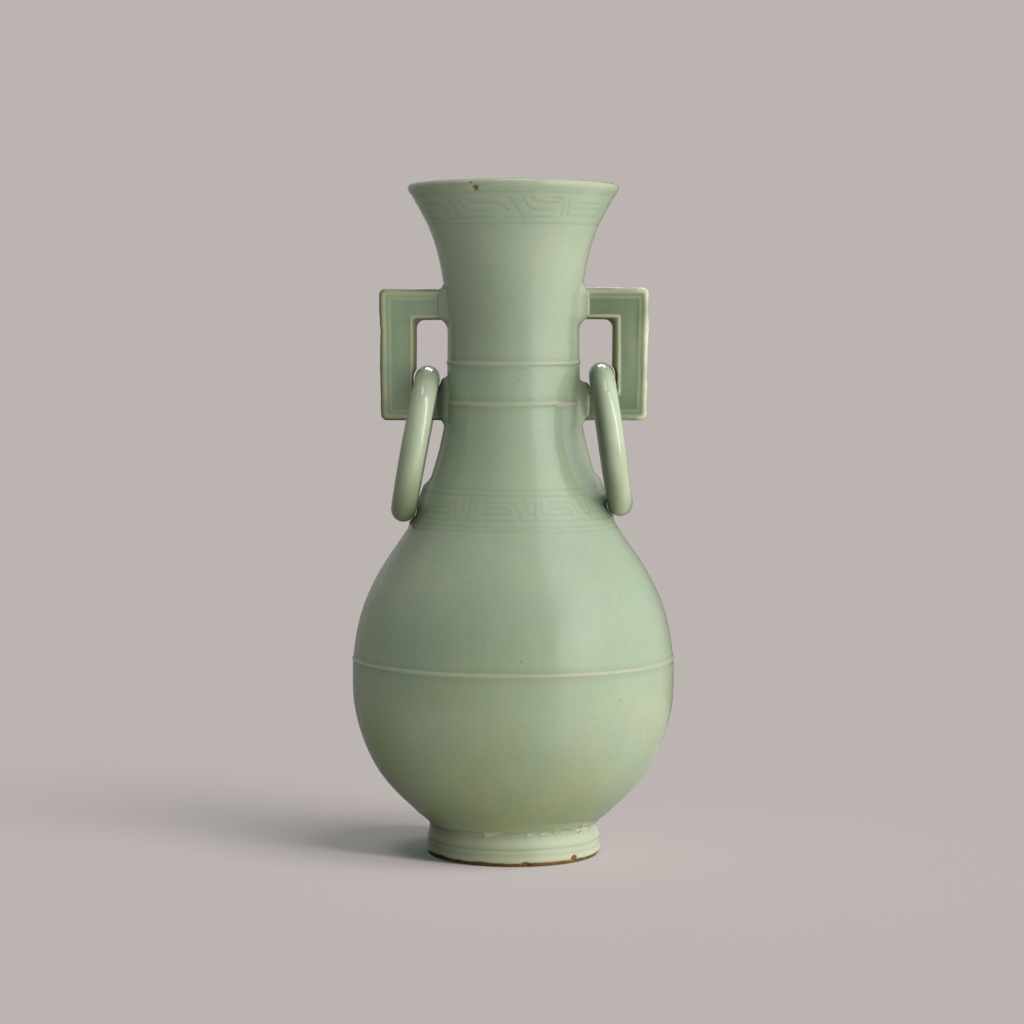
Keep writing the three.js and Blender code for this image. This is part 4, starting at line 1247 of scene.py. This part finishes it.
foot_set = bpy.data.collections.new("Foot")
upper_set = bpy.data.collections.new("Upper")
skin_set = bpy.data.collections.new("Skin")
for group in (foot_set, upper_set, skin_set):
    bpy.context.scene.collection.children.link(group)
for piece in vase_set.objects:
    (foot_set if piece.name == "foot_ring_glazed" else upper_set).objects.link(piece)
    if piece.name in ("lower_body_glazed", "upper_body_glazed", "neck_collar_glazed", "trumpet_neck_glazed"):
        skin_set.objects.link(piece)
glow_wall("studio_wall", WALL, REACH, upper_set, low=-1.6)
glow_wall("studio_wall_foot", FOOT_WALL, REACH + 0.02, foot_set)
glow_wall("studio_box", BOX, REACH - 0.02, skin_set).visible_diffuse = False
soft("overhead", (0.02, 0.0, 1.35), (0, 0, 0.13), 0.45, 0.45, 4.73, only=upper_set)
# a lamp behind that glints on the rings and along the tops of the handles
trim_set = bpy.data.collections.new("Trim")
bpy.context.scene.collection.children.link(trim_set)
for label in ("left_ring", "right_ring", "left_handle", "right_handle"):
    trim_set.objects.link(bpy.data.objects[label + "_glazed"])
soft("glint", (0.06, 1.02, 0.83), (0, 0, 0.19), 0.42, 0.20, 7.0, only=trim_set)
# and a narrow strip that the cords of the rings and the ridges of the handles mirror
STRIP = [(-0.15, [(0, 0.0)])] + [(z, [(58, 0.0), (63, 6.0), (72, 6.0), (78, 0.0)]) for z in (0.10, 2.60)]
glow_wall("studio_strip", STRIP, REACH - 0.04, trim_set).visible_diffuse = False
# what the paper throws back
soft("bounce_left", (-0.33, 0, -0.012), (-0.33, 0, 1), 0.56, 0.6, 0.059, only=upper_set)
grid = np.linspace(-0.66, 0.66, 67)
gx, gy = [q.reshape(-1) for q in np.meshgrid(grid, grid, indexing="ij")]
field = 0.42 * smooth(0.01, 0.09, gx) * smooth(0.40, 0.22, np.abs(gy)) + 0.36 * smooth(-0.01, -0.09, gy) * smooth(0.40, 0.22, np.abs(gx))
field = np.maximum(field, 0.40 * smooth(0.01, 0.09, gx) * smooth(-0.01, -0.09, gy)) * smooth(0.66, 0.45, np.hypot(gx, gy))
bounce_mesh = bpy.data.meshes.new("bounce")
g = len(grid)
bounce_mesh.from_pydata(np.stack([gx, gy, np.full(g * g, -0.012)], 1).tolist(), [], [(i * g + j, (i + 1) * g + j, (i + 1) * g + j + 1, i * g + j + 1) for i in range(g - 1) for j in range(g - 1)])
bounce_mesh.attributes.new("glow", "FLOAT", "POINT").data.foreach_set("value", field.astype(np.float32))
bounce_mesh.materials.append(glow_material)
bounce = bpy.data.objects.new("bounce", bounce_mesh)
bpy.context.scene.collection.objects.link(bounce)
bounce.visible_camera = bounce.visible_shadow = False
bounce.light_linking.receiver_collection = bounce.light_linking.blocker_collection = vase_set
floor.visible_diffuse = floor.visible_glossy = False


def sun(name, azimuth, elevation, angle, share, blockers, colour=(1.0318, 0.9771, 0.9965)):
    """A share of the paper's light; only the pieces in blockers throw its shadow."""
    data = bpy.data.lights.new(name, "SUN")
    a, e = math.radians(azimuth), math.radians(elevation)
    data.angle = math.radians(angle)
    data.color = colour
    data.energy = share * math.pi / (PAPER * math.sin(e))
    lamp = bpy.data.objects.new(name, data)
    bpy.context.scene.collection.objects.link(lamp)
    lamp.location = (2 * math.sin(a) * math.cos(e), -2 * math.cos(a) * math.cos(e), 2 * math.sin(e))
    aim(lamp, (0, 0, 0))
    lamp.light_linking.receiver_collection = floor_set
    lamp.light_linking.blocker_collection = blockers
    return lamp


sun("paper_high", 54, 50, 26, 0.245, vase_set)
sun("paper_low", 60, 10, 12, 0.285, foot_set)
sun("paper_side", 68, 34, 34, 0.235, foot_set)
sun("paper_back", 132, 40, 60, 0.085, foot_set)
sun("paper_even", 0, 89, 10, 0.150, floor_set, (0.82, 1.13, 1.02))

world = bpy.data.worlds.new("studio")
bpy.context.scene.world = world
world.use_nodes = True
tree = world.node_tree
seen, lit = tree.nodes["Background"], tree.nodes.new("ShaderNodeBackground")
seen.inputs["Color"].default_value = BACK
lit.inputs["Color"].default_value = (0.0, 0.0, 0.0, 1)
path, blend = tree.nodes.new("ShaderNodeLightPath"), tree.nodes.new("ShaderNodeMixShader")
tree.links.new(path.outputs["Is Camera Ray"], blend.inputs[0])
tree.links.new(lit.outputs[0], blend.inputs[1])
tree.links.new(seen.outputs[0], blend.inputs[2])
tree.links.new(blend.outputs[0], tree.nodes["World Output"].inputs["Surface"])

scene = bpy.context.scene
scene.view_settings.view_transform = "Standard"
scene.view_settings.look = "None"
scene.view_settings.exposure = 0.0
scene.view_settings.gamma = 1.0

lens = bpy.data.cameras.new("camera")
lens.lens, lens.sensor_width, lens.sensor_fit = 106.276, 36.0, "HORIZONTAL"
lens.clip_start, lens.clip_end = 0.05, 100.0
camera = bpy.data.objects.new("camera", lens)
scene.collection.objects.link(camera)
camera.location = (-0.0005, -1.168, 0.214)
camera.rotation_euler = (math.radians(90 - 3.9747), 0, 0)
scene.camera = camera
